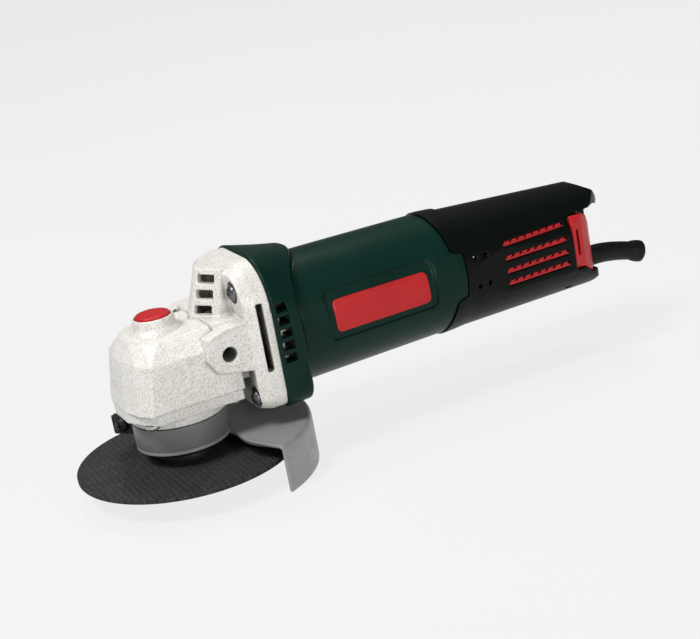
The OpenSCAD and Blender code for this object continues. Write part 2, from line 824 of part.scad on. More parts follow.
module cord_boot() {
    color([0.06, 0.06, 0.06])
    difference() {
        union() {
            ringed_tube([for (i = [0 : boot_rings]) let(t = i / boot_rings)
                tube_ring(boot_point(t), boot_heading(t), boot_radius(t), boot_sides)]);
            along_x(boot_start_x, 0, boot_z) cylinder(r = 7.4, h = 3);
        }
        translate([boot_start_x + boot_len, 0, boot_z + boot_drop(1)])
            rotate([0, 90 - boot_lean(1), 0])
                translate([0, 0, -cord_bore_depth])
                    cylinder(r = cord_bore_r, h = cord_bore_depth + 4 * cut);
        along_x(198, 0, boot_z) cylinder(r = cord_bore_r, h = 22);
    }
}

// Lead wires, each swept along a few points inside the handle, as heights from the motor axis
wire_r = 1;
wire_sides = 8;
wire_routes = [
    [[137, -24, -2], [146, -21, 3], [155, -14, 8], [163, -9.5, 11], [171.6, -7, 12]],
    [[137, 24, -2], [146, 21, 3], [155, 14, 8], [163, 9.5, 11], [171.6, 7, 12]]];

function wire_heading(route, k) =
    unit(route[min(k + 1, len(route) - 1)] - route[max(k - 1, 0)]);

module lead_wires() {
    color("saddlebrown")
    translate([0, 0, motor_z])
        for (route = wire_routes)
            ringed_tube([for (k = [0 : len(route) - 1])
                tube_ring(route[k], wire_heading(route, k), wire_r, wire_sides)]);
}

// Spindle lock
module lock_cap() {
    color("firebrick")
    difference() {
        union() {
            translate([cap_x, 0, cap_low_z]) cylinder(r = cap_r, h = cap_top_z - cap_low_z - 1);
            translate([cap_x, 0, cap_top_z - 1]) cylinder(r1 = cap_r, r2 = cap_r - 1, h = 1);
        }
        translate([lock_x, 0, cap_low_z - cut]) cylinder(r = lock_pin_r, h = 2 + cut);
    }
}

module lock_pin() {
    color("silver")
    translate([lock_x, 0, gear_top_z + 0.7])
        cylinder(r = lock_pin_r, h = cap_low_z + 2 - gear_top_z - 0.7);
}

module lock_spring() {
    color("silver")
    translate([lock_x, 0, spring_z + 0.1])
        ring_spring(2.85, 0.35, cap_low_z - spring_z - 0.2, 7);
}

// Spindle group
module spindle() {
    color("silver")
    difference() {
        union() {
            translate([0, 0, 0.6]) cylinder(r = thread_r, h = shoulder_z);
            translate([0, 0, shoulder_z]) cylinder(r = journal_r, h = hub_z - shoulder_z);
            translate([0, 0, hub_z - cut]) cylinder(r = gear_seat_r - seat, h = 48.6 - hub_z + cut);
            translate([0, 0, 48]) cylinder(r = top_journal_r, h = 11);
        }
        translate([0, 0, gear_top_z + 0.2]) tube(6, 4, 1);
        translate([gear_seat_r - 1.5, -1.5, hub_z + 3]) cube([3, 3, 14]);
    }
}

module spindle_gear() {
    root_out = tooth_point(gear_cone, -tooth_down, 0, 1);
    root_in = tooth_point(gear_cone, -tooth_down, 0, inner_share);
    color("slategray")
    difference() {
        union() {
            rotate_extrude() polygon([[0, hub_z], [8.5, hub_z], [8.5, 38.5],
                [18.6, 41], [root_out[0], motor_z - root_out[2]],
                [root_in[0], motor_z - root_in[2]], [12.6, gear_top_z], [0, gear_top_z]]);
            translate([0, 0, motor_z])
                rotate([180, 0, 0])
                    for (k = [0 : gear_teeth - 1])
                        rotate([0, 0, 360 * k / gear_teeth]) bevel_tooth(gear_teeth, gear_cone);
        }
        translate([0, 0, hub_z - cut]) cylinder(r = gear_seat_r, h = 40);
        for (k = [0 : 3])
            rotate([0, 0, 90 * k])
                translate([lock_x, 0, gear_top_z - 5]) cylinder(r = lock_pin_r + 0.3, h = 5 + cut);
        translate([0, -1.55, hub_z - cut]) cube([gear_seat_r + 1.6, 3.1, 17.2 + cut]);
    }
}

module gear_key() {
    color("dimgray")
    translate([gear_seat_r - 1.45, -1.45, hub_z + 3.05]) cube([2.9, 2.9, 13.9]);
}

module gear_ring() {
    color("dimgray")
    translate([0, 0, gear_top_z + 0.25])
        difference() {
            tube(5.2, 4.05, 0.9);
            translate([0, -1.5, -cut]) cube([8, 3, 4]);
        }
}

module spindle_bearing_inner() {
    color("lightsteelblue")
    translate([0, 0, bearing_z]) tube(ring_step_r, journal_r, bearing_h);
}

module dust_ring() {
    color("dimgray")
    translate([0, 0, shoulder_z + 0.1]) tube(12.2, journal_r, bearing_z - shoulder_z - 0.2);
}

module inner_flange() {
    color("dimgray")
    difference() {
        union() {
            translate([0, 0, inner_flange_z])
                cylinder(r = inner_flange_r, h = shoulder_z - inner_flange_z);
            translate([0, 0, inner_flange_z - disc_t + 0.3])
                cylinder(r = disc_bore_r - seat, h = disc_t);
        }
        translate([0, 0, -cut]) cylinder(r = thread_r + seat, h = 30);
    }
}

module cutting_disc() {
    color([0.13, 0.11, 0.1])
    translate([0, 0, disc_z]) tube(disc_r, disc_bore_r, disc_t);
}

module lock_nut() {
    color("dimgray")
    difference() {
        cylinder(r = nut_r, h = nut_t);
        translate([0, 0, -cut]) cylinder(r = thread_r + seat, h = nut_t + 2 * cut);
        for (side = [-1, 1])
            translate([side * spanner_pitch / 2, 0, -cut])
                cylinder(r = spanner_hole_r, h = 3 + cut);
    }
}

// Rotor group
module armature_shaft() {
    color("silver")
    union() {
        along_x(11) cylinder(r = 2, h = 4);
        along_x(13.9) cylinder(r = 2.4, h = 13);
        along_x(26.7) cylinder(r = 5, h = rear_bearing_x - 26.7);
        along_x(rear_bearing_x - cut) cylinder(r = 3.5, h = 7.5);
    }
}

module pinion() {
    root_out = tooth_point(pinion_cone, -tooth_down, 0, 1);
    root_in = tooth_point(pinion_cone, -tooth_down, 0, inner_share);
    color("slategray")
    difference() {
        union() {
            along_x(0) rotate_extrude() polygon([[0, root_in[2]], [root_in[0], root_in[2]],
                [root_out[0], root_out[2]], [5.6, root_out[2]], [5.6, 26.6], [0, 26.6]]);
            along_x(0)
                for (k = [0 : pinion_teeth - 1])
                    rotate([0, 0, 360 * (k + 0.5) / pinion_teeth])
                        bevel_tooth(pinion_teeth, pinion_cone);
        }
        along_x(10) cylinder(r = 2.45, h = 20);
    }
}

module pinion_nut() {
    color("silver")
    along_x(11.3)
        difference() {
            cylinder(r = 3.9, h = 2.5, $fn = 6);
            translate([0, 0, -cut]) cylinder(r = 2.05, h = 5);
        }
}

module front_bearing_inner() {
    color("lightsteelblue")
    along_x(front_bearing_x) tube(7.7, 5, plate_x - front_bearing_x);
}

module rear_bearing_inner() {
    color("lightsteelblue")
    along_x(rear_bearing_x) tube(5.5, 3.5, 6);
}

module slot_bars(grow, length) {
    for (k = [0 : 11])
        rotate([0, 0, 30 * k])
            translate([8.5 - grow, -1.3 - grow, -length / 2 + core_len / 2])
                cube([6.4 + 2 * grow, 2.6 + 2 * grow, length]);
}

module armature_core() {
    color("slategray")
    along_x(core_x)
        difference() {
            tube(armature_r, 5, core_len);
            slot_bars(0.15, core_len + 4);
            for (k = [0 : 11])
                rotate([0, 0, 30 * k]) translate([14, -0.7, -cut]) cube([5, 1.4, core_len + 2 * cut]);
        }
}

module armature_windings() {
    color("orangered")
    along_x(core_x) {
        slot_bars(0, core_len + 2);
        translate([0, 0, -7.5]) tube(15, 5.6, 7);
        translate([0, 0, core_len + 0.5]) tube(14, 5.6, 7);
    }
}

module commutator() {
    color("peru")
    along_x(120.5)
        difference() {
            tube(11.5, 5, 14.5);
            for (k = [0 : 23])
                rotate([0, 0, 15 * k]) translate([9.5, -0.25, -cut]) cube([4, 0.5, 17]);
        }
}

module fan() {
    color("ivory")
    along_x(fan_x)
        union() {
            tube(9, 5, 12);
            tube(25.5, 5, 1.8);
            for (k = [0 : fan_blades - 1])
                rotate([0, 0, 360 * k / fan_blades])
                    translate([8, -0.8, 0]) cube([17.2, 1.6, 11.5]);
        }
}

// Guard group
module guard_ring() {
    translate([0, 0, collar_low_z - guard_t]) tube(band_r, collar_r + 0.5, guard_t);
}

module wheel_guard() {
    plate_low = collar_low_z - guard_t;
    color("darkgray")
    union() {
        guard_ring();
        rotate([0, 0, guard_start])
            rotate_extrude(angle = guard_arc) polygon([[guard_neck_r, plate_low],
                [guard_r - guard_t, plate_low], [guard_r - guard_t, -guard_low], [guard_r, -guard_low],
                [guard_r, collar_low_z], [guard_neck_r, collar_low_z]]);
    }
}

module guard_band() {
    color("gray")
    difference() {
        union() {
            translate([0, 0, collar_low_z]) tube(band_r, collar_r + 0.3, band_h);
            rotate([0, 0, lug_angle])
                translate([band_r - 1, -lug_w / 2, collar_low_z + 0.8])
                    cube([lug_len, lug_w, band_h - 1.4]);
        }
        rotate([0, 0, lug_angle]) {
            translate([band_r / 2, -lug_gap / 2, collar_low_z - cut])
                cube([band_r, lug_gap, band_h + 2 * cut]);
            translate([clamp_r, -lug_w, clamp_z])
                rotate([-90, 0, 0]) cylinder(r = 2.1, h = 2 * lug_w);
        }
    }
}

module clamp_screw() {
    color([0.1, 0.1, 0.1])
    rotate([0, 0, lug_angle])
        translate([clamp_r, lug_w / 2, clamp_z])
            rotate([-90, 0, 0]) screw(1.95, lug_w + 3.5, 3.3, 2.6);
}

module clamp_nut() {
    color("dimgray")
    rotate([0, 0, lug_angle])
        translate([clamp_r, -lug_w, clamp_z])
            rotate([-90, 0, 0])
                difference() {
                    cylinder(r = 3.6, h = 3, $fn = 6);
                    translate([0, 0, -cut]) cylinder(r = 2, h = 5);
                }
}

gear_housing();
bearing_box();
bearing_box_screws();
flange_screws();
spindle_bearing_outer();
bearing_circlip();
spindle_bush();
front_bearing_outer();
front_bearing_plate();
front_plate_screws();
fan_baffle();
motor_housing();
stator_core();
field_coils();
rear_bearing_outer();
rear_bearing_sleeve();
brush_holders();
carbon_brushes();
brush_springs();
label_plates();
handle_shell_left();
handle_shell_right();
handle_screws();
vent_insert();
rear_cap();
switch_body();
capacitor();
cord_clamp();
cord_clamp_screws();
cord_boot();
lead_wires();
lock_cap();
lock_pin();
lock_spring();
spindle();
spindle_gear();
gear_key();
gear_ring();
spindle_bearing_inner();
dust_ring();
inner_flange();
cutting_disc();
lock_nut();
armature_shaft();
pinion();
pinion_nut();
front_bearing_inner();
rear_bearing_inner();
armature_core();
armature_windings();
commutator();
fan();
wheel_guard();
guard_band();
clamp_screw();
clamp_nut();
switch_lever();
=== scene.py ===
import json
import math

import bmesh
import bpy
import numpy as np
from mathutils import Matrix, Vector


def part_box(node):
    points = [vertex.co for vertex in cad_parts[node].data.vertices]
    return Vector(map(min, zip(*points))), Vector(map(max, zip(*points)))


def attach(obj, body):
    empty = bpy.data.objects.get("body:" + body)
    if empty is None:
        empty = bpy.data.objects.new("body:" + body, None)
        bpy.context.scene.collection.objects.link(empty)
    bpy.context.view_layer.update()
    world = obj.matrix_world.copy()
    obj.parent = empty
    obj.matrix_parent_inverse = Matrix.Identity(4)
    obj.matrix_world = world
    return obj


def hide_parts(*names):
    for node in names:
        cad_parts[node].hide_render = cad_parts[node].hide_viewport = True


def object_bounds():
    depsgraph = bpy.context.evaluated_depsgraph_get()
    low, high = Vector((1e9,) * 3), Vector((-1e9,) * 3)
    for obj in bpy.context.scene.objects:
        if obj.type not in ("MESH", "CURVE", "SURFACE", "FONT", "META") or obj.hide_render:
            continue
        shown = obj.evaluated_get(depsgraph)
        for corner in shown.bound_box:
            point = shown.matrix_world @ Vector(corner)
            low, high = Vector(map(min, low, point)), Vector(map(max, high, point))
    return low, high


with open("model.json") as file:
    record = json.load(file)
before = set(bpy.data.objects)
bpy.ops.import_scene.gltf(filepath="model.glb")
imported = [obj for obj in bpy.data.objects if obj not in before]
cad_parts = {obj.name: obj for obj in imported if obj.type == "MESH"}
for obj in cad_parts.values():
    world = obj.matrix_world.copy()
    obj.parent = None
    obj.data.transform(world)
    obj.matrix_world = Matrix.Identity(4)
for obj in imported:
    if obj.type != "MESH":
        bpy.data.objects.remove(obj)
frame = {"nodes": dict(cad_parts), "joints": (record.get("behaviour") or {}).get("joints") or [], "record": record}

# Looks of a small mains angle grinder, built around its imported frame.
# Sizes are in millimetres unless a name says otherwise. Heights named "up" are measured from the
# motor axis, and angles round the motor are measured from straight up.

MM = 0.001
cad_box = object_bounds()
record = frame["record"]
joints = {joint["name"]: joint for joint in frame["joints"]}

# ---------------------------------------------------------------- driving sizes
MOTOR_Z = joints["rotor_spin"]["pos_m"][2] / MM
MOTOR_TURN = 256          # points round the motor
FLANGE_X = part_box("motor_housing")[0].x / MM
COLLAR_END = 51.6         # where the collar's rear edge starts to round off, at its sides
CROWN = 11.0              # how much further back the collar reaches at its top
BARREL_START = 56.0
BARREL_R = (29.6, 28.3)   # at the collar, and where the handle starts
BARREL_LEN = 73.0
BARREL_WALL = 2.4
FAN_ROOM_R = 27.4         # inside the collar, round the fan


def corner(node, low=True):
    """A corner of a node's box in millimetres."""
    return [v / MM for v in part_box(node)[0 if low else 1]]


# ---------------------------------------------------------------- mesh helpers
def new_object(name, mesh):
    obj = bpy.data.objects.new(name, mesh)
    bpy.context.scene.collection.objects.link(obj)
    return obj


def mesh_piece(name, points, faces):
    """A clean mesh from points in millimetres."""
    bm = bmesh.new()
    verts = [bm.verts.new([c * MM for c in p]) for p in points]
    for face in faces:
        if len(set(face)) > 2:
            bm.faces.new([verts[k] for k in face])
    bmesh.ops.remove_doubles(bm, verts=bm.verts, dist=1e-7)
    bmesh.ops.dissolve_degenerate(bm, edges=bm.edges, dist=1e-7)
    bmesh.ops.recalc_face_normals(bm, faces=bm.faces)
    mesh = bpy.data.meshes.new(name)
    bm.to_mesh(mesh)
    bm.free()
    return new_object(name, mesh)


def loft(name, rings, wrap=False):
    """A closed solid through rings of matching points; wrap joins the last ring to the first."""
    count, n = len(rings), len(rings[0])
    points = [p for ring in rings for p in ring]
    faces = []
    for i in range(count if wrap else count - 1):
        j = (i + 1) % count
        for k in range(n):
            m = (k + 1) % n
            faces.append((i * n + k, i * n + m, j * n + m, j * n + k))
    if not wrap:
        faces.append(tuple(range(n)))
        faces.append(tuple((count - 1) * n + k for k in reversed(range(n))))
    return mesh_piece(name, points, faces)


def fillet(corners, steps=5):
    """A closed outline of (r, h, rounding) corners, each rounded by a short curve."""
    out = []
    for k, (r, h, size) in enumerate(corners):
        here = np.array((r, h), float)
        if size <= 0:
            out.append(tuple(here))
            continue
        ends = []
        for other in (corners[k - 1], corners[(k + 1) % len(corners)]):
            way = np.array(other[:2], float) - here
            length = np.linalg.norm(way)
            ends.append(here + way / length * min(size, 0.48 * length))
        for s in np.linspace(0, 1, steps):
            out.append(tuple((1 - s) ** 2 * ends[0] + 2 * s * (1 - s) * here + s * s * ends[1]))
    return out


def lathe(name, profile, centre=(0, 0, 0), turns=128, start=0.0, sweep=360.0, lean=None):
    """Turns a closed (r, h) outline about an upright axis.

    On a part turn, lean(r) is the angle by which both open ends draw in at that radius.
    """
    full = sweep >= 360.0
    rings = []
    for k in range(turns if full else turns + 1):
        share = k / turns
        ring = []
        for r, h in profile:
            low, high = start, start + sweep
            if lean:
                low, high = low + lean(r), high - lean(r)
            angle = math.radians(low + (high - low) * share)
            p = (r * math.cos(angle), r * math.sin(angle), h)
            ring.append(tuple(c + o for c, o in zip(p, centre)))
        rings.append(ring)
    return loft(name, rings, wrap=full)


def box_piece(name, low, high):
    xs, ys, zs = zip(low, high)
    points = [(x, y, z) for x in xs for y in ys for z in zs]
    faces = [(0, 1, 3, 2), (4, 6, 7, 5), (0, 4, 5, 1), (2, 3, 7, 6), (0, 2, 6, 4), (1, 5, 7, 3)]
    return mesh_piece(name, points, faces)


def settle(obj):
    """Applies every modifier, so that the mesh is final."""
    graph = bpy.context.evaluated_depsgraph_get()
    mesh = bpy.data.meshes.new_from_object(obj.evaluated_get(graph))
    obj.modifiers.clear()
    obj.data = mesh
    return obj


def remove(obj):
    bpy.data.objects.remove(obj)


def cut(obj, cutters, operation="DIFFERENCE"):
    """Cuts, joins or intersects obj with other closed pieces, which are used up."""
    for cutter in cutters:
        mod = obj.modifiers.new("cut", "BOOLEAN")
        mod.operation, mod.object, mod.solver = operation, cutter, "EXACT"
    settle(obj)
    for cutter in cutters:
        remove(cutter)
    return obj


def join(name, pieces):
    """One mesh of several pieces, which are used up."""
    bm = bmesh.new()
    for piece in pieces:
        bm.from_mesh(piece.data)
    mesh = bpy.data.meshes.new(name)
    bm.to_mesh(mesh)
    bm.free()
    for piece in pieces:
        remove(piece)
    return new_object(name, mesh)


def copy_node(name, node):
    """A welded copy of a CAD node's mesh."""
    bm = bmesh.new()
    bm.from_mesh(frame["nodes"][node].data)
    bmesh.ops.remove_doubles(bm, verts=bm.verts, dist=2e-6)
    mesh = bpy.data.meshes.new(name)
    bm.to_mesh(mesh)
    bm.free()
    return new_object(name, mesh)


def cast(obj, voxel, passes, keep=1.0):
    """Rounds every edge the way a casting or a moulding is: one even skin, smoothed a little."""
    mod = obj.modifiers.new("skin", "REMESH")
    mod.mode, mod.voxel_size = "VOXEL", voxel * MM
    mod = obj.modifiers.new("round", "SMOOTH")
    mod.factor, mod.iterations = 0.5, passes
    if keep < 1.0:
        mod = obj.modifiers.new("thin", "DECIMATE")
        mod.ratio = keep
    return settle(obj)


def bevel(obj, width, segments=2, angle=35):
    mod = obj.modifiers.new("bevel", "BEVEL")
    mod.width, mod.segments, mod.limit_method = width * MM, segments, "ANGLE"
    mod.angle_limit = math.radians(angle)
    mod.use_clamp_overlap = False
    return settle(obj)


def finish(obj, body, material, slot, *nodes, sharp=35):
    """Shades a piece, paints it, and ties it to its body and the nodes that it stands for."""
    mesh = obj.data
    mesh.materials.clear()
    mesh.materials.append(material)
    mesh.polygons.foreach_set("use_smooth", [True] * len(mesh.polygons))
    mesh.set_sharp_from_angle(angle=math.radians(sharp))
    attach(obj, body)
    if nodes:
        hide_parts(*nodes)
    return obj


# ---------------------------------------------------------------- materials
MIX_SHARE, MIX_LOW, MIX_HIGH = 0, 6, 7      # a Mix node's inputs when it mixes colours
MIX_RESULT = 2


class Paint:
    """A Principled shader with a few short ways to add procedural detail."""

    def __init__(self, name, **sockets):
        self.material = bpy.data.materials.new(name)
        self.material.use_nodes = True
        self.tree = self.material.node_tree
        self.shader = self.tree.nodes["Principled BSDF"]
        for key, value in sockets.items():
            self.shader.inputs[key.replace("_", " ")].default_value = value
        self.height = None
        self.place = self.add("ShaderNodeTexCoord").outputs["Object"]

    def add(self, kind, **settings):
        node = self.tree.nodes.new(kind)
        for key, value in settings.items():
            setattr(node, key, value)
        return node

    def link(self, a, b):
        self.tree.links.new(a, b)

    def feed(self, value, socket):
        """Links a value that another node gives, or sets a plain one."""
        if hasattr(value, "links"):
            self.link(value, socket)
        else:
            socket.default_value = value

    def noise(self, scale, detail=4.0, roughness=0.6, stretch=None):
        """Noise whose features are about 1 / scale metres across."""
        node = self.add("ShaderNodeTexNoise")
        node.inputs["Scale"].default_value = scale
        node.inputs["Detail"].default_value = detail
        node.inputs["Roughness"].default_value = roughness
        place = self.place
        if stretch:
            mapping = self.add("ShaderNodeMapping")
            mapping.inputs["Scale"].default_value = stretch
            self.link(place, mapping.inputs["Vector"])
            place = mapping.outputs["Vector"]
        self.link(place, node.inputs["Vector"])
        return node.outputs["Fac"]

    def ramp(self, value, low, high, start=0.35, end=0.65):
        """Blends from one colour or number to another as value goes from start to end."""
        node = self.add("ShaderNodeMapRange")
        node.inputs["From Min"].default_value = start
        node.inputs["From Max"].default_value = end
        self.link(value, node.inputs["Value"])
        if not hasattr(low, "__len__"):
            node.inputs["To Min"].default_value = low
            node.inputs["To Max"].default_value = high
            return node.outputs["Result"]
        return self.mix(node.outputs["Result"], low, high)

    def mix(self, share, low, high, blend="MIX"):
        node = self.add("ShaderNodeMix", data_type="RGBA", blend_type=blend)
        self.feed(share, node.inputs[MIX_SHARE])
        for place, value in ((MIX_LOW, low), (MIX_HIGH, high)):
            self.feed(value if hasattr(value, "links") else (*value, 1.0), node.inputs[place])
        return node.outputs[MIX_RESULT]

    def maths(self, operation, a, b=0.0, c=0.0):
        node = self.add("ShaderNodeMath", operation=operation)
        for socket, value in zip(node.inputs, (a, b, c)):
            self.feed(value, socket)
        return node.outputs["Value"]

    def colour(self, value):
        self.link(value, self.shader.inputs["Base Color"])

    def rough(self, value):
        self.link(value, self.shader.inputs["Roughness"])

    def bump(self, height, strength, depth):
        """Adds a bump of that depth in millimetres over the ones before it."""
        node = self.add("ShaderNodeBump")
        node.inputs["Strength"].default_value = strength
        node.inputs["Distance"].default_value = depth * MM
        self.link(height, node.inputs["Height"])
        if self.height is not None:
            self.link(self.height, node.inputs["Normal"])
        self.height = node.outputs["Normal"]
        self.link(self.height, self.shader.inputs["Normal"])


def cast_metal():
    """Sand-cast aluminium: pale, grainy and a little uneven, with painted shade darkening its slots, holes and
    creases.
    """
    p = Paint("cast_aluminium", Metallic=0.12, Roughness=0.5)
    grain = p.noise(1300, 3.0, 0.75)
    broad = p.noise(70, 3.0)
    pale = p.ramp(grain, (0.38, 0.37, 0.335), (0.78, 0.765, 0.725), 0.28, 0.54)
    tone = p.ramp(broad, (0.90, 0.89, 0.87), (1.0, 1.0, 1.0), 0.3, 0.7)
    # Painted shade: an ambient occlusion probe darkens the colour in slots, holes and creases, where shade falls,
    # and a little broad noise varies how much.
    occlusion_probe = p.add("ShaderNodeAmbientOcclusion", samples=8)
    occlusion_probe.inputs["Distance"].default_value = 7 * MM
    lit_share_with_tone = p.maths("ADD", occlusion_probe.outputs["AO"], p.maths("MULTIPLY", broad, 0.12))
    painted_shade = p.ramp(lit_share_with_tone, (0.05, 0.047, 0.040), (1.0, 1.0, 1.0), 0.22, 0.80)
    p.colour(p.mix(1.0, p.mix(1.0, pale, tone, "MULTIPLY"), painted_shade, "MULTIPLY"))
    p.rough(p.ramp(grain, 0.62, 0.40, 0.3, 0.7))
    p.bump(grain, 0.55, 0.16)
    p.bump(broad, 0.3, 0.5)
    return p.material


def moulded(name, colour, lighter, roughness, gloss=0.12):
    """Moulded plastic: a fine spark-eroded grain, and gloss that varies a little."""
    p = Paint(name, Roughness=roughness, Specular_IOR_Level=gloss)
    broad = p.noise(45, 3.0)
    fine = p.noise(2200, 2.0)
    p.colour(p.ramp(broad, colour, lighter, 0.3, 0.7))
    p.rough(p.ramp(fine, roughness - 0.05, roughness + 0.10, 0.3, 0.7))
    p.bump(fine, 0.35, 0.05)
    p.bump(p.noise(120, 2.0), 0.12, 0.25)
    return p.material


def satin_paint(name, colour):
    """Satin paint over pressed sheet, with a fine orange peel and a few rub marks."""
    roughness = 0.38
    p = Paint(name, Metallic=0.15, Roughness=roughness)
    rub = p.noise(90, 6.0, 0.7, (1.0, 1.0, 5.0))
    darker = tuple(0.86 * c for c in colour)
    p.colour(p.ramp(rub, darker, colour, 0.32, 0.52))
    p.rough(p.ramp(p.noise(160, 3.0), roughness - 0.06, roughness + 0.1))
    p.bump(p.noise(700, 2.0), 0.25, 0.08)
    return p.material


def worn_steel(name, colour, roughness, metallic=1.0):
    """Turned or drawn metal: streaks along the tool marks, and uneven tarnish."""
    p = Paint(name, Metallic=metallic, Roughness=roughness)
    streak = p.noise(900, 4.0, 0.6, (1.0, 1.0, 12.0))
    tarnish = p.noise(160, 4.0)
    darker = tuple(0.6 * c for c in colour)
    p.colour(p.ramp(tarnish, darker, colour, 0.3, 0.6))
    p.rough(p.ramp(streak, roughness - 0.08, roughness + 0.14, 0.3, 0.7))
    p.bump(streak, 0.3, 0.05)
    return p.material


def banded(name, colour, gap_colour, pitch, axis, roughness, metallic):
    """Stacked sheets, wound wire or copper bars: thin dark lines across an axis."""
    p = Paint(name, Metallic=metallic, Roughness=roughness)
    parts = p.add("ShaderNodeSeparateXYZ")
    p.link(p.place, parts.inputs[0])
    wave = p.maths("SINE", p.maths("MULTIPLY", parts.outputs[axis], 2 * math.pi / (pitch * MM)))
    tone = p.ramp(p.noise(300, 3.0), tuple(0.75 * c for c in colour), colour)
    line = p.ramp(wave, 0.0, 1.0, -0.95, -0.45)
    p.colour(p.mix(line, gap_colour, tone))
    p.bump(wave, 0.4, 0.12)
    return p.material


def abrasive():
    """A resin bonded cut-off disc: dark grit under a square net of glass threads."""
    thread_pitch = 2.6 * MM
    p = Paint("abrasive_disc", Roughness=0.78, Specular_IOR_Level=0.25)
    grit = p.noise(1500, 4.0, 0.8)
    patch = p.noise(90, 4.0)
    parts = p.add("ShaderNodeSeparateXYZ")
    wobble = p.add("ShaderNodeVectorMath", operation="MULTIPLY_ADD")
    wander = p.add("ShaderNodeTexNoise")
    wander.inputs["Scale"].default_value = 120
    p.link(p.place, wander.inputs["Vector"])
    p.link(wander.outputs["Color"], wobble.inputs[0])
    wobble.inputs[1].default_value = (0.0006, 0.0006, 0.0)
    p.link(p.place, wobble.inputs[2])
    p.link(wobble.outputs[0], parts.inputs[0])
    threads = []
    for axis in (0, 1):
        wave = p.maths("SINE", p.maths("MULTIPLY", parts.outputs[axis], 2 * math.pi / thread_pitch))
        threads.append(p.maths("SMOOTH_MAX", wave, 0.0, 0.3))
    net = p.maths("MAXIMUM", threads[0], threads[1])
    base = p.ramp(grit, (0.004, 0.004, 0.004), (0.034, 0.032, 0.031), 0.32, 0.68)
    worn = p.ramp(patch, (0.75, 0.74, 0.72), (1.35, 1.28, 1.2), 0.3, 0.7)
    base = p.mix(1.0, base, worn, "MULTIPLY")
    fibre = p.ramp(grit, (0.012, 0.011, 0.011), (0.085, 0.080, 0.074), 0.4, 0.62)
    p.colour(p.mix(p.maths("MULTIPLY", net, 0.62), base, fibre))
    p.rough(p.ramp(p.noise(2600, 1.0), 0.85, 0.30, 0.60, 0.72))
    p.bump(grit, 0.8, 0.22)
    p.bump(net, 0.6, 0.12)
    return p.material


def rubber():
    """Moulded rubber with a dull bloom."""
    p = Paint("black_rubber", Roughness=0.55, Specular_IOR_Level=0.2)
    bloom = p.noise(150, 4.0)
    p.colour(p.ramp(bloom, (0.003, 0.003, 0.0028), (0.008, 0.008, 0.0074)))
    p.rough(p.ramp(bloom, 0.45, 0.65))
    p.bump(p.noise(1800, 2.0), 0.4, 0.05)
    return p.material


MATERIALS = {
    "cast_aluminium": cast_metal(),
    "bright_steel": worn_steel("bright_steel", (0.60, 0.60, 0.59), 0.28),
    "dark_steel": worn_steel("dark_steel", (0.20, 0.20, 0.205), 0.34),
    "gear_steel": worn_steel("gear_steel", (0.36, 0.36, 0.38), 0.3),
    "black_steel": worn_steel("black_steel", (0.028, 0.028, 0.030), 0.42, 0.6),
    "bearing_steel": worn_steel("bearing_steel", (0.62, 0.63, 0.66), 0.2),
    "bronze": worn_steel("bronze", (0.55, 0.36, 0.18), 0.36),
    "copper_bars": worn_steel("copper_bars", (0.70, 0.36, 0.22), 0.3),
    "copper_wire": banded("copper_wire", (0.42, 0.13, 0.05), (0.10, 0.03, 0.01), 0.8, 1, 0.35, 0.2),
    "laminations": banded("laminations", (0.28, 0.29, 0.31), (0.04, 0.04, 0.045), 1.0, 0, 0.45, 0.8),
    "green_plastic": moulded("green_plastic", (0.0016, 0.0155, 0.0112), (0.0024, 0.0200, 0.0148), 0.34),
    "black_plastic": moulded("black_plastic", (0.0006, 0.0018, 0.0015), (0.0012, 0.0028, 0.0023), 0.40),
    "dark_plastic": moulded("dark_plastic", (0.006, 0.006, 0.0065), (0.010, 0.010, 0.011), 0.4),
    "red_plastic": moulded("red_plastic", (0.40, 0.008, 0.010), (0.48, 0.012, 0.014), 0.36, gloss=0.3),
    "fan_plastic": moulded("fan_plastic", (0.60, 0.57, 0.48), (0.70, 0.67, 0.58), 0.45),
    "yellow_plastic": moulded("yellow_plastic", (0.60, 0.44, 0.09), (0.70, 0.52, 0.12), 0.35),
    "brown_plastic": moulded("brown_plastic", (0.12, 0.045, 0.018), (0.18, 0.07, 0.03), 0.4),
    "black_rubber": rubber(),
    "carbon": moulded("carbon", (0.012, 0.012, 0.012), (0.022, 0.022, 0.022), 0.5),
    "abrasive_disc": abrasive(),
    "guard_paint": satin_paint("guard_paint", (0.27, 0.27, 0.275)),
    "band_paint": satin_paint("band_paint", (0.15, 0.15, 0.152)),
}
slots = {row["node"]: row["material_slot"] for row in record["subparts"]}
for node, obj in frame["nodes"].items():
    obj.data.materials.clear()
    obj.data.materials.append(MATERIALS[slots[node]])


def dress(obj, body, node, *more, **options):
    """Finishes a piece with the material that its node's slot names, for the node that it stands for."""
    return finish(obj, body, MATERIALS[slots[node]], slots[node], node, *more, **options)


# ---------------------------------------------------------------- camera, floor and light
CAMERA_YAW, CAMERA_PITCH, CAMERA_ROLL = -22.607, 18.228, -10.459
CAMERA_AT = (-206.2, -708.3, 242.35 + MOTOR_Z)
CAMERA_LENS = 90.68       # on a 36 mm wide sensor
FLOOR_EDGE = 20000.0
FLOOR_SQUARES = 8         # each way
FLOOR_GLOW = 0.80
WORLD_GLOW = 0.16


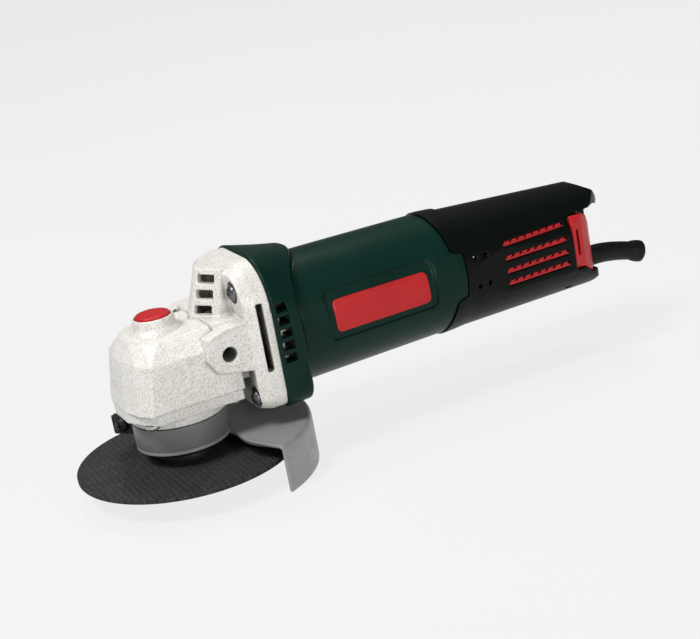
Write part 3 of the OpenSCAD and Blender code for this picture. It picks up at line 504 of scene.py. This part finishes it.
def make_camera():
    yaw, pitch, roll = (math.radians(a) for a in (CAMERA_YAW, CAMERA_PITCH, CAMERA_ROLL))
    turn = Matrix.Rotation(yaw, 3, "Z")
    ahead = turn @ Vector((0, math.cos(pitch), -math.sin(pitch)))
    right = turn @ Vector((1, 0, 0))
    up = right.cross(ahead)
    tilted = math.cos(roll) * right + math.sin(roll) * up
    over = -math.sin(roll) * right + math.cos(roll) * up
    data = bpy.data.cameras.new("camera")
    data.sensor_width, data.lens = 36.0, CAMERA_LENS
    data.clip_start, data.clip_end = 0.01, 100.0
    camera = bpy.data.objects.new("camera", data)
    bpy.context.scene.collection.objects.link(camera)
    pose = Matrix((tilted, over, -ahead)).transposed().to_4x4()
    pose.translation = Vector(CAMERA_AT) * MM
    camera.matrix_world = pose
    bpy.context.scene.camera = camera


def make_light(name, at, target, size, power):
    """A round lamp, placed, aimed and sized in metres."""
    data = bpy.data.lights.new(name, "AREA")
    data.shape, data.size, data.energy = "DISK", size, power
    lamp = bpy.data.objects.new(name, data)
    lamp.location = at
    lamp.rotation_euler = (Vector(target) - Vector(at)).to_track_quat("-Z", "Y").to_euler()
    bpy.context.scene.collection.objects.link(lamp)


def make_stage():
    low = cad_box[0].z / MM
    row = FLOOR_SQUARES + 1
    grid = np.linspace(-FLOOR_EDGE, FLOOR_EDGE, row)
    points = [(x, y, low) for x in grid for y in grid]
    faces = [(i * row + j, (i + 1) * row + j, (i + 1) * row + j + 1, i * row + j + 1)
             for i in range(FLOOR_SQUARES) for j in range(FLOOR_SQUARES)]
    floor = mesh_piece("floor", points, faces)
    p = Paint("pale_floor", Roughness=0.9, Specular_IOR_Level=0.0)
    p.colour(p.ramp(p.noise(3, 2.0), (0.075, 0.075, 0.075), (0.08, 0.08, 0.08)))
    p.shader.inputs["Emission Color"].default_value = (1.0, 1.0, 1.0, 1.0)
    p.shader.inputs["Emission Strength"].default_value = FLOOR_GLOW
    floor.data.materials.append(p.material)
    world = bpy.data.worlds.new("studio")
    world.use_nodes = True
    back = world.node_tree.nodes["Background"]
    back.inputs["Color"].default_value = (1.0, 1.0, 1.0, 1.0)
    back.inputs["Strength"].default_value = WORLD_GLOW
    bpy.context.scene.world = world


bpy.context.scene.view_settings.view_transform = "Standard"
make_camera()
make_stage()
make_light("key", (-0.75, -0.25, 1.35), (0.03, 0, 0.05), 0.5, 21.0)
make_light("front", (0.1, -1.5, 0.5), (0.08, 0, 0.05), 0.4, 9.0)
make_light("top_strip", (0.25, 0.55, 1.2), (0.1, 0, 0.06), 0.25, 6.0)


# ---------------------------------------------------------------- shapes round the motor
def round_square(turn, half_w, up, down, top_r, low_r):
    """Radius at each angle of a rounded square round the motor axis, found by halving."""
    low, high = np.full_like(turn, 5.0), np.full_like(turn, 80.0)
    centre, half = (up - down) / 2, (up + down) / 2
    for _ in range(34):
        r = (low + high) / 2
        y, z = np.abs(r * np.sin(turn)), r * np.cos(turn) - centre
        rounding = np.where(z > 0, top_r, low_r)
        qy, qz = y - (half_w - rounding), np.abs(z) - (half - rounding)
        inside = np.hypot(np.maximum(qy, 0), np.maximum(qz, 0))
        outside = inside + np.minimum(np.maximum(qy, qz), 0) - rounding > 0
        high, low = np.where(outside, r, high), np.where(outside, low, r)
    return low


TURN = np.linspace(0, 2 * math.pi, MOTOR_TURN, endpoint=False)


def ring_at(x, r):
    """Points round the motor axis; x and r may each be one number or one for each angle."""
    x, r = np.broadcast_to(x, TURN.shape), np.broadcast_to(r, TURN.shape)
    return [(a, s * math.sin(t), MOTOR_Z + s * math.cos(t)) for a, s, t in zip(x, r, TURN)]


def barrel_radius(x):
    share = np.clip((x - BARREL_START) / BARREL_LEN, 0, 1.2)
    return BARREL_R[0] + (BARREL_R[1] - BARREL_R[0]) * share


def joint_line():
    """Where the barrel gives way to the handle: a plain ring with a tongue on each side."""
    down = np.degrees(np.minimum(TURN, 2 * math.pi - TURN))
    angles = [0, 40, 60, 64.5, 84, 105, 109, 122, 140, 180]
    stations = [130.3, 132.0, 132.6, 138.3, 137.7, 137.0, 131.8, 130.4, 129.2, 128.8]
    return np.interp(down, angles, stations)


def curved_patch(name, x_span, up_span, depth_span, rounding, side):
    """A rounded rectangle wrapped on the barrel, as a solid between two depths from its skin."""
    hx, hu = (x_span[1] - x_span[0]) / 2, (up_span[1] - up_span[0]) / 2
    cx, cu = sum(x_span) / 2, sum(up_span) / 2
    nx, nu = 40, 16           # squares along the patch, and up it
    points, faces = [], []
    for depth in depth_span:
        for i in range(nx + 1):
            for j in range(nu + 1):
                dx, du = hx * (2 * i / nx - 1), hu * (2 * j / nu - 1)
                ex, eu = abs(dx) - (hx - rounding), abs(du) - (hu - rounding)
                if ex > 0 and eu > 0:
                    pull = max(ex, eu) / math.hypot(ex, eu)
                    dx = math.copysign(hx - rounding + ex * pull, dx)
                    du = math.copysign(hu - rounding + eu * pull, du)
                x = cx + dx
                r = float(barrel_radius(x)) + depth
                a = math.asin((cu + du) / BARREL_R[0])
                points.append((x, side * r * math.cos(a), MOTOR_Z + r * math.sin(a)))
    row = nu + 1
    layer = (nx + 1) * row
    for i in range(nx):
        for j in range(nu):
            a, b = i * row + j, (i + 1) * row + j
            faces.append((a, b, b + 1, a + 1))
            faces.append((layer + a, layer + a + 1, layer + b + 1, layer + b))
    rim = [i * row for i in range(nx + 1)] + [nx * row + j for j in range(1, nu + 1)]
    rim += [i * row + nu for i in range(nx - 1, -1, -1)] + [j for j in range(nu - 1, 0, -1)]
    for a, b in zip(rim, rim[1:] + rim[:1]):
        faces.append((a, b, layer + b, layer + a))
    return mesh_piece(name, points, faces)


# ---------------------------------------------------------------- motor housing and label
RECESS_X, RECESS_UP = (67.0, 121.5), (-8.0, 15.5)
PLATE_X, PLATE_UP = (70.3, 118.0), (-4.6, 10.6)
VENT_COUNT = 5
VENT_X = (42.3, 47.6)
VENT_UP, VENT_PITCH, VENT_HIGH = -9.2, 5.75, 3.9
LIP = 1.6                 # rounding of the collar's rear edge


def make_motor_housing():
    front = round_square(TURN, 33.0, 36.8, 30.5, 22.0, 8.0)
    back = round_square(TURN, 32.6, 35.0, 30.5, 30.0, 9.0)
    top = np.maximum(np.cos(TURN), 0) ** 5
    edge = COLLAR_END + CROWN * top
    back = back - 1.6 * top
    rings = [ring_at(FLANGE_X, front - 0.6), ring_at(FLANGE_X + 0.25, front - 0.15)]
    for share in np.linspace(0, 1, 9):
        x = FLANGE_X + 0.8 + (edge - FLANGE_X - 0.8) * share
        rings.append(ring_at(x, front + (back - front) * share))
    for angle in np.radians([18, 36, 54, 72, 88]):
        rings.append(ring_at(edge + LIP * math.sin(angle), back - LIP * (1 - math.cos(angle))))
    foot = edge + LIP
    for back_by, proud in ((0.1, 0.9), (0.25, 0.1), (0.5, -0.35), (0.9, -0.35), (1.2, -0.1), (1.6, 0.0)):
        rings.append(ring_at(foot + back_by, barrel_radius(foot + back_by) + proud))
    start = foot + 1.8
    end = joint_line()
    for share in np.linspace(0, 1, 30):
        x = start + (end - 0.5 - start) * share
        rings.append(ring_at(x, barrel_radius(x)))
    rings.append(ring_at(end - 0.1, barrel_radius(end) - 0.12))
    rings.append(ring_at(end, barrel_radius(end) - 0.5))
    rings.append(ring_at(end, barrel_radius(end) - BARREL_WALL))
    inner = BARREL_R[0] - BARREL_WALL - 0.8
    rings.append(ring_at(62.0, inner))
    rings.append(ring_at(59.0, FAN_ROOM_R - 0.4))
    rings.append(ring_at(57.0, FAN_ROOM_R))
    rings.append(ring_at(FLANGE_X, FAN_ROOM_R))
    housing = loft("motor_housing_shell", rings, wrap=True)
    cutters = [curved_patch("recess", RECESS_X, RECESS_UP, (-0.9, 6.0), 3.2, side)
               for side in (-1, 1)]
    for side in (-1, 1):
        near, far = sorted((side * 20.0, side * 40.0))
        for k in range(VENT_COUNT):
            up = VENT_UP + VENT_PITCH * k
            cutters.append(box_piece("vent", (VENT_X[0], near, MOTOR_Z + up),
                                     (VENT_X[1], far, MOTOR_Z + up + VENT_HIGH)))
    cut(housing, cutters)
    bevel(housing, 0.25, 2, 40)
    dress(housing, "housing", "motor_housing")


def make_label():
    """A blank plate in each recess, with a raised rim."""
    rim_x, rim_up = 1.3, 1.2
    plates = []
    for side in (-1, 1):
        plate = curved_patch("plate", PLATE_X, PLATE_UP, (-1.0, -0.3), 2.6, side)
        plates.append(bevel(plate, 0.28, 3))
        middle = curved_patch("inner", (PLATE_X[0] + rim_x, PLATE_X[1] - rim_x),
                              (PLATE_UP[0] + rim_up, PLATE_UP[1] - rim_up), (-0.42, 1.0), 1.8, side)
        cut(plate, [middle])
    dress(join("label_plate_pair", plates), "housing", "label_plates")


make_motor_housing()
make_label()


# ---------------------------------------------------------------- handle
SLOT_X = (159.6, 193.8)
SLOT_ROWS = (10.0, 3.4, -2.8, -8.6)
SLOT_HIGH = 2.3
SLOT_TEETH = 8
SLEEVE = ((126.5, 26.0), (126.5, 29.1), (134.0, 28.9), (141.0, 28.3), (141.0, 26.0))   # x, radius
SEAM_OVERLAP = 0.04       # each half moves in this far, so that the two weld into one skin
SIDE_X, SIDE_Y = (158.0, 196.0, 203.0), (25.6, 24.8, 23.0)
ARCH_R, ARCH_TAPER, ARCH_START, ARCH_DROP = 30.0, 0.0723, 125.0, 1.5


def half_ring(side):
    """Fills the front of one handle shell out to its joint line with the barrel."""
    rings = []
    for angle in np.radians(np.linspace(0.3, 179.7, 90)):
        ring = []
        for x, r in SLEEVE:
            ring.append((x, side * r * math.sin(angle), MOTOR_Z + r * math.cos(angle)))
        rings.append(ring)
    return loft("sleeve", rings)


def front_plug():
    """Everything in front of the joint line."""
    end = joint_line() + 0.12
    rings = [ring_at(100.0, 0.01), ring_at(100.0, 60.0)]
    rings += [ring_at(end, 60.0), ring_at(end, 30.0), ring_at(end, 27.0), ring_at(end, 0.01)]
    return loft("plug", rings)


def make_handle():
    """Both shells are rounded as one body and then parted, so that their seam stays tight."""
    parts = []
    for side, node in ((-1, "handle_shell_left"), (1, "handle_shell_right")):
        for piece in (copy_node("half", node), half_ring(side)):
            piece.data.transform(Matrix.Translation((0, -side * SEAM_OVERLAP * MM, 0)))
            parts.append(piece)
    both = cast(join("handle", parts), 0.5, 7)
    cut(both, [front_plug()])
    for side, node in ((-1, "handle_shell_left"), (1, "handle_shell_right")):
        half = new_object(node + "_skin", both.data.copy())
        near, far = sorted((-side * 60.0, -side * 0.01))
        cut(half, [box_piece("other_side", (100.0, near, -20.0), (240.0, far, 120.0))])
        dress(half, "housing", node, sharp=50)
    remove(both)


def handle_side(x, up):
    """How far the handle's side is from the middle plane at a station and height."""
    plan = np.interp(x, SIDE_X, SIDE_Y)
    arch = ARCH_R - ARCH_TAPER * (x - ARCH_START)
    over = max(up + ARCH_DROP, 0.0)
    return min(float(plan), math.sqrt(arch * arch - over * over))


def make_vent_insert():
    """Red slats that fill each vent slot, with a row of leaning teeth along their tops."""
    pieces = []
    half = SLOT_HIGH / 2 - 0.15
    pitch = (SLOT_X[1] - SLOT_X[0] - 1.0) / SLOT_TEETH
    for side in (-1, 1):
        for up in SLOT_ROWS:
            z = MOTOR_Z + up
            rings = []
            for x in np.linspace(SLOT_X[0] + 0.3, SLOT_X[1] - 0.3, 12):
                deep, face = (side * (handle_side(x, up) - d) for d in (3.4, 0.75))
                rings.append([(x, deep, z - half), (x, face, z - half), (x, face, z - 0.05),
                              (x, deep, z - 0.05)])
            pieces.append(loft("slat", rings))
            for k in range(SLOT_TEETH):
                x = SLOT_X[0] + 0.5 + pitch * k
                low = [(x, z - 0.2), (x + 0.62 * pitch, z - 0.2),
                       (x + 0.62 * pitch + 1.0, z + half), (x + 1.0, z + half)]
                base = handle_side(x + 2.0, up)
                rings = [[(a, side * (base - d), b) for a, b in low] for d in (3.2, 0.8)]
                pieces.append(loft("tooth", rings))
        for x in (157.4, 194.2):
            near, far = sorted((side * 20.6, side * 21.6))
            pieces.append(box_piece("post", (x, near, MOTOR_Z - 10.4), (x + 1.2, far, MOTOR_Z + 6.0)))
    insert = join("vent_insert_slats", pieces)
    dress(insert, "housing", "vent_insert")


def make_rear_cap():
    cap = copy_node("rear_cap_skin", "rear_cap")
    cast(cap, 0.33, 4)
    dress(cap, "housing", "rear_cap", sharp=50)


def make_lever():
    lever = copy_node("switch_lever_skin", "switch_lever")
    cast(lever, 0.3, 4)
    dress(lever, "switch", "switch_lever", sharp=50)


BOOT_START, BOOT_LEN = 201.0, 46.2
BOOT_Z = MOTOR_Z - 17.0
BOOT_DROP = 5.6
BOOT_BORE = 3.4           # radius
BEAD_START = 0.87         # as a share of the boot's length


def boot_centre(t):
    """The boot's middle line: straight at first, and then drooping."""
    t = float(t)
    drop = 0.0 if t < 0.45 else BOOT_DROP * ((t - 0.45) / 0.55) ** 1.6
    return Vector((BOOT_START + BOOT_LEN * t, 0, BOOT_Z - drop))


def make_boot():
    """The cord boot: a tapering tube with a rounded bead at its end, and its open bore."""
    stations = list(np.linspace(0, 0.86, 30)[3:]) + list(np.linspace(0.875, 1.0, 12))

    def ring(t, r, back=0.0):
        ahead = (boot_centre(min(t + 0.01, 1.0)) - boot_centre(max(t - 0.01, 0.0))).normalized()
        across = Vector((0, 1, 0))
        up = ahead.cross(across)
        at = boot_centre(t) - ahead * back
        turns = (2 * math.pi * k / 48 for k in range(48))
        return [tuple(at + float(r) * (math.cos(a) * across + math.sin(a) * up)) for a in turns]

    rings = [ring(0.0, 7.0), ring(0.055, 7.2), ring(0.065, 5.6)]
    for t in stations:
        if t < BEAD_START:
            r = 5.25 - 0.75 * t / BEAD_START
        else:
            share = (t - BEAD_START) / 0.13
            r = 4.5 + 0.85 * math.sin(share * 0.62 * math.pi) ** 0.8
        rings.append(ring(t, r))
    rings.append(ring(1.0, 4.9, -0.35))
    rings.append(ring(1.0, 4.1, -0.5))
    rings.append(ring(1.0, BOOT_BORE + 0.1, -0.2))
    rings.append(ring(1.0, BOOT_BORE, 0.6))
    rings.append(ring(0.7, BOOT_BORE))
    boot = loft("cord_boot_skin", rings)
    dress(boot, "housing", "cord_boot")


make_handle()
make_vent_insert()
make_rear_cap()
make_lever()
make_boot()


# ---------------------------------------------------------------- gear head
CAP_X = sum(v.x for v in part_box("lock_cap")) / 2 / MM
PLATEAU = MOTOR_Z + 12.6   # the head's flat top, round the lock button's boss


def make_head():
    foot = lathe("boss_foot", fillet([(9.2, PLATEAU - 0.6, 0), (12.2, PLATEAU - 0.6, 0),
                                      (10.0, PLATEAU + 2.4, 2.0), (9.2, PLATEAU + 3.0, 0)]),
                 (CAP_X, 0, 0))
    head = join("gear_housing_skin", [copy_node("head", "gear_housing"), foot])
    cast(head, 0.42, 2, 0.6)
    dress(head, "housing", "gear_housing", sharp=60)
    box = copy_node("bearing_box_skin", "bearing_box")
    cast(box, 0.42, 2, 0.6)
    dress(box, "housing", "bearing_box", sharp=60)


def make_cap():
    low, high = corner("lock_cap"), corner("lock_cap", False)
    r = (high[0] - low[0]) / 2
    profile = [(0, low[2]), (r - 0.2, low[2]), (r, low[2] + 0.3), (r, high[2] - 1.1)]
    profile += [(r - 0.35 * s - 0.25 * s * s, high[2] - 1.1 + 0.9 * math.sin(s * math.pi / 2))
                for s in (0.25, 0.5, 0.75, 1.0)]
    profile += [(r * 0.6, high[2] - 0.08), (r * 0.3, high[2] - 0.01), (0, high[2])]
    cap = lathe("lock_cap_skin", profile, (CAP_X, 0, 0))
    dress(cap, "lock_button", "lock_cap")


make_head()
make_cap()


# ---------------------------------------------------------------- screws
# Each kind is its radius, its length, and its head's radius and height.
FLANGE_SCREW = (2.4, 19.6, 3.7, 3.4)
BOX_SCREW = (1.95, 11.8, 3.5, 2.9)
HANDLE_SCREW = (1.7, 33.6, 3.0, 2.1)
CLAMP_SCREW = (1.95, 9.5, 3.3, 2.6)
FLANGE_PLACES = ((-20.5, 25.0), (20.5, 25.0), (-24.5, -22.5), (24.5, -22.5))   # y, up
BOX_PLACES = ((-18, -18.5), (-18, 18.5), (20, -18.5), (20, 18.5))              # x, y
HANDLE_PLACES = ((156, -19), (155, 15.5), (195.5, -21.5))                      # x, up
HANDLE_SEAT = 19
flange_seat = corner("flange_screws")[0] + 3.6
box_seat = corner("bearing_box_screws")[2] + 3.0


def one_screw(r, length, head_r, head_h):
    """A pan head screw along +Z with its head above z = 0 and a cross recess."""
    dome = [(head_r * math.cos(a), head_h * 0.35 + head_h * 0.65 * math.sin(a))
            for a in np.linspace(0, math.pi / 2, 8)]
    profile = [(0, -length), (r * 0.6, -length), (r, -length + r * 0.5)]
    turns = max(2, int(length / 1.4))
    for k in range(turns):
        z = -length + r * 0.5 + (length - r * 0.5 - 1.0) * k / turns
        profile += [(r, z), (r * 0.84, z + 0.55)]
    profile += [(r, -0.9), (r, 0), (head_r, 0)] + dome
    screw = lathe("screw", profile, turns=40)
    arm, wide, deep = head_r * 0.62, head_r * 0.13, head_h * 0.62
    bars = []
    for a, b in ((arm, wide), (wide, arm)):
        low = [(x, y, head_h - deep) for x, y in
               ((-a * 0.55, -b * 0.7), (a * 0.55, -b * 0.7), (a * 0.55, b * 0.7), (-a * 0.55, b * 0.7))]
        top = [(x, y, head_h + 1) for x, y in ((-a, -b), (a, -b), (a, b), (-a, b))]
        bars.append(loft("bar", [low, top]))
    return cut(screw, bars)


def screws(name, body, node, places, sizes):
    """Copies of one screw at matrices given in millimetres."""
    pattern = one_screw(*sizes)
    made = []
    for place in places:
        piece = new_object("copy", pattern.data.copy())
        scaled = place.copy()
        scaled.translation = place.translation * MM
        piece.data.transform(scaled)
        made.append(piece)
    remove(pattern)
    return dress(join(name, made), body, node)


def facing(at, direction, spin):
    """A place at a point with +Z along a direction, turned by spin radians about it."""
    pose = Vector(direction).to_track_quat("Z", "Y").to_matrix().to_4x4()
    pose = pose @ Matrix.Rotation(spin, 4, "Z")
    pose.translation = Vector(at)
    return pose


screws("flange_screw_set", "housing", "flange_screws",
       [facing((flange_seat, y, MOTOR_Z + up), (-1, 0, 0), 0.4 * k)
        for k, (y, up) in enumerate(FLANGE_PLACES)], FLANGE_SCREW)
screws("bearing_box_screw_set", "housing", "bearing_box_screws",
       [facing((x, y, box_seat), (0, 0, -1), 0.5 * k) for k, (x, y) in enumerate(BOX_PLACES)],
       BOX_SCREW)
screws("handle_screw_set", "housing", "handle_screws",
       [facing((x, HANDLE_SEAT, MOTOR_Z + up), (0, 1, 0), 0.7 * k)
        for k, (x, up) in enumerate(HANDLE_PLACES)], HANDLE_SCREW)


# ---------------------------------------------------------------- disc, flange and nut
DISC_BORE = 8.0           # radius
SPINDLE_BORE = 4.95       # radius, round the spindle's M10 thread
SPANNER_R, SPANNER_AT = 2.1, 10


def make_disc_parts():
    low, high = corner("cutting_disc"), corner("cutting_disc", False)
    r, z0, z1 = high[0], low[2], high[2]
    profile = fillet([(DISC_BORE, z0, 0.1), (r, z0, 0.35), (r, z1, 0.35), (DISC_BORE, z1, 0.1)])
    middle = [(DISC_BORE + (r - DISC_BORE) * s, z0) for s in (0.25, 0.5, 0.75)]
    dress(lathe("cutting_disc_skin", profile[:5] + middle + profile[5:], turns=192),
          "spindle_group", "cutting_disc")
    f0, (fr, _, f1) = corner("inner_flange")[2], corner("inner_flange", False)
    dress(lathe("inner_flange_skin", fillet([
        (SPINDLE_BORE, f0, 0.2), (7.95, f0, 0.3), (7.95, z1, 0), (fr - 0.2, z1, 0.2),
        (fr, z1 + 1.2, 0.3), (fr, z1 + 3.2, 0.5), (11.2, z1 + 4.4, 0.6),
        (10.6, f1, 0.4), (SPINDLE_BORE, f1, 0.2)])), "spindle_group", "inner_flange")
    nut_r, _, nut_t = corner("lock_nut", False)
    nut = lathe("lock_nut_skin", fillet([
        (SPINDLE_BORE, 0, 0.4), (nut_r - 1.4, 0, 0.4), (nut_r, 1.5, 0.4), (nut_r, nut_t, 0.2),
        (SPINDLE_BORE, nut_t, 0.2)]))
    pins = [lathe("pin_hole", [(0, -1), (SPANNER_R, -1), (SPANNER_R, 3), (0, 3)],
                  (side * SPANNER_AT, 0, 0), turns=32) for side in (-1, 1)]
    cut(nut, pins)
    dress(bevel(nut, 0.15, 2, 50), "spindle_group", "lock_nut")


make_disc_parts()


# ---------------------------------------------------------------- guard
guard_low, guard_high = corner("wheel_guard")[2], corner("wheel_guard", False)[2]
GUARD_R, GUARD_T = 57.5, 1.5
GUARD_START, GUARD_SWEEP = -62.0, 154.0
FLAT_R = 53.0             # the plate is flat out to here, and then rounds over into the skirt
NECK_IN, BAND_IN, BAND_OUT = 20.15, 19.9, 21.4
BAND_HIGH = 10.8
LUG_ANGLE = math.radians(130)
LUG_X = (20.6, 34.4)
LUG_FACES = ((-3.0, -1.2), (1.2, 3.0))
CLAMP_R = 29.0
LEAN_MOST, LEAN_OUTER, LEAN_SPAN = 24.0, 42.0, 20.0


def guard_lean(r):
    """Near the collar the plate's open edges curve in towards the guard's middle."""
    return LEAN_MOST * (max(LEAN_OUTER - r, 0) / LEAN_SPAN) ** 2.2


def make_guard():
    top, under = guard_high, guard_high - GUARD_T
    ring = lathe("ring", fillet([(NECK_IN, under, 0.3), (BAND_OUT, under, 0.3), (BAND_OUT, top, 0.1),
                                 (NECK_IN, top, 0.1)]), turns=160)
    stations = list(np.linspace(20.7, FLAT_R, 22))
    profile = [(r, under) for r in stations]
    profile += fillet([(FLAT_R, under, 0), (GUARD_R - GUARD_T, under, 1.6),
                       (GUARD_R - GUARD_T, guard_low, 0.3), (GUARD_R, guard_low, 0.3),
                       (GUARD_R, top, 3.2), (FLAT_R, top, 0)], 9)[1:-1]
    profile += [(r, top) for r in reversed(stations)]
    hood = lathe("hood", profile, turns=150, start=GUARD_START, sweep=GUARD_SWEEP,
                 lean=guard_lean)
    cut(hood, [ring], "UNION")
    dress(bevel(hood, 0.3, 2, 60), "guard", "wheel_guard", sharp=45)


def make_band():
    """The clamp band round the collar, its two lugs and the screw that draws them together."""
    low, high = guard_high, guard_high + BAND_HIGH
    ring = lathe("guard_band_skin", fillet([(BAND_IN, low, 0.3), (BAND_OUT, low, 0.4),
                                            (BAND_OUT, high, 0.5), (BAND_IN, high, 0.3)]), turns=160)
    dress(ring, "guard", "guard_band")
    lugs = []
    for near, far in LUG_FACES:
        lug = box_piece("lug", (LUG_X[0], near, low + 0.8), (LUG_X[1], far, low + 10.2))
        verts = lug.data.vertices
        weight = lug.data.attributes.new("bevel_weight_edge", "FLOAT", "EDGE")
        for edge in lug.data.edges:
            a, b = (verts[i].co for i in edge.vertices)
            upright = abs(a.x - b.x) < 1e-9 and abs(a.z - b.z) < 1e-9
            weight.data[edge.index].value = 1.0 if upright and a.x > 25 * MM else 0.12
        mod = lug.modifiers.new("bevel", "BEVEL")
        mod.width, mod.segments, mod.limit_method = 2.6 * MM, 5, "WEIGHT"
        settle(lug)
        lugs.append(lug)
    pair = join("guard_band_lugs", lugs)
    pair.data.transform(Matrix.Rotation(LUG_ANGLE, 4, "Z"))
    finish(pair, "guard", MATERIALS["black_steel"], "black_steel")
    turn = Matrix.Rotation(LUG_ANGLE, 3, "Z")
    at = turn @ Vector((CLAMP_R, LUG_FACES[1][1], low + 5.5))
    screws("clamp_screw_skin", "guard", "clamp_screw",
           [facing(at, turn @ Vector((0, 1, 0)), 0.2)], CLAMP_SCREW)


make_guard()
make_band()
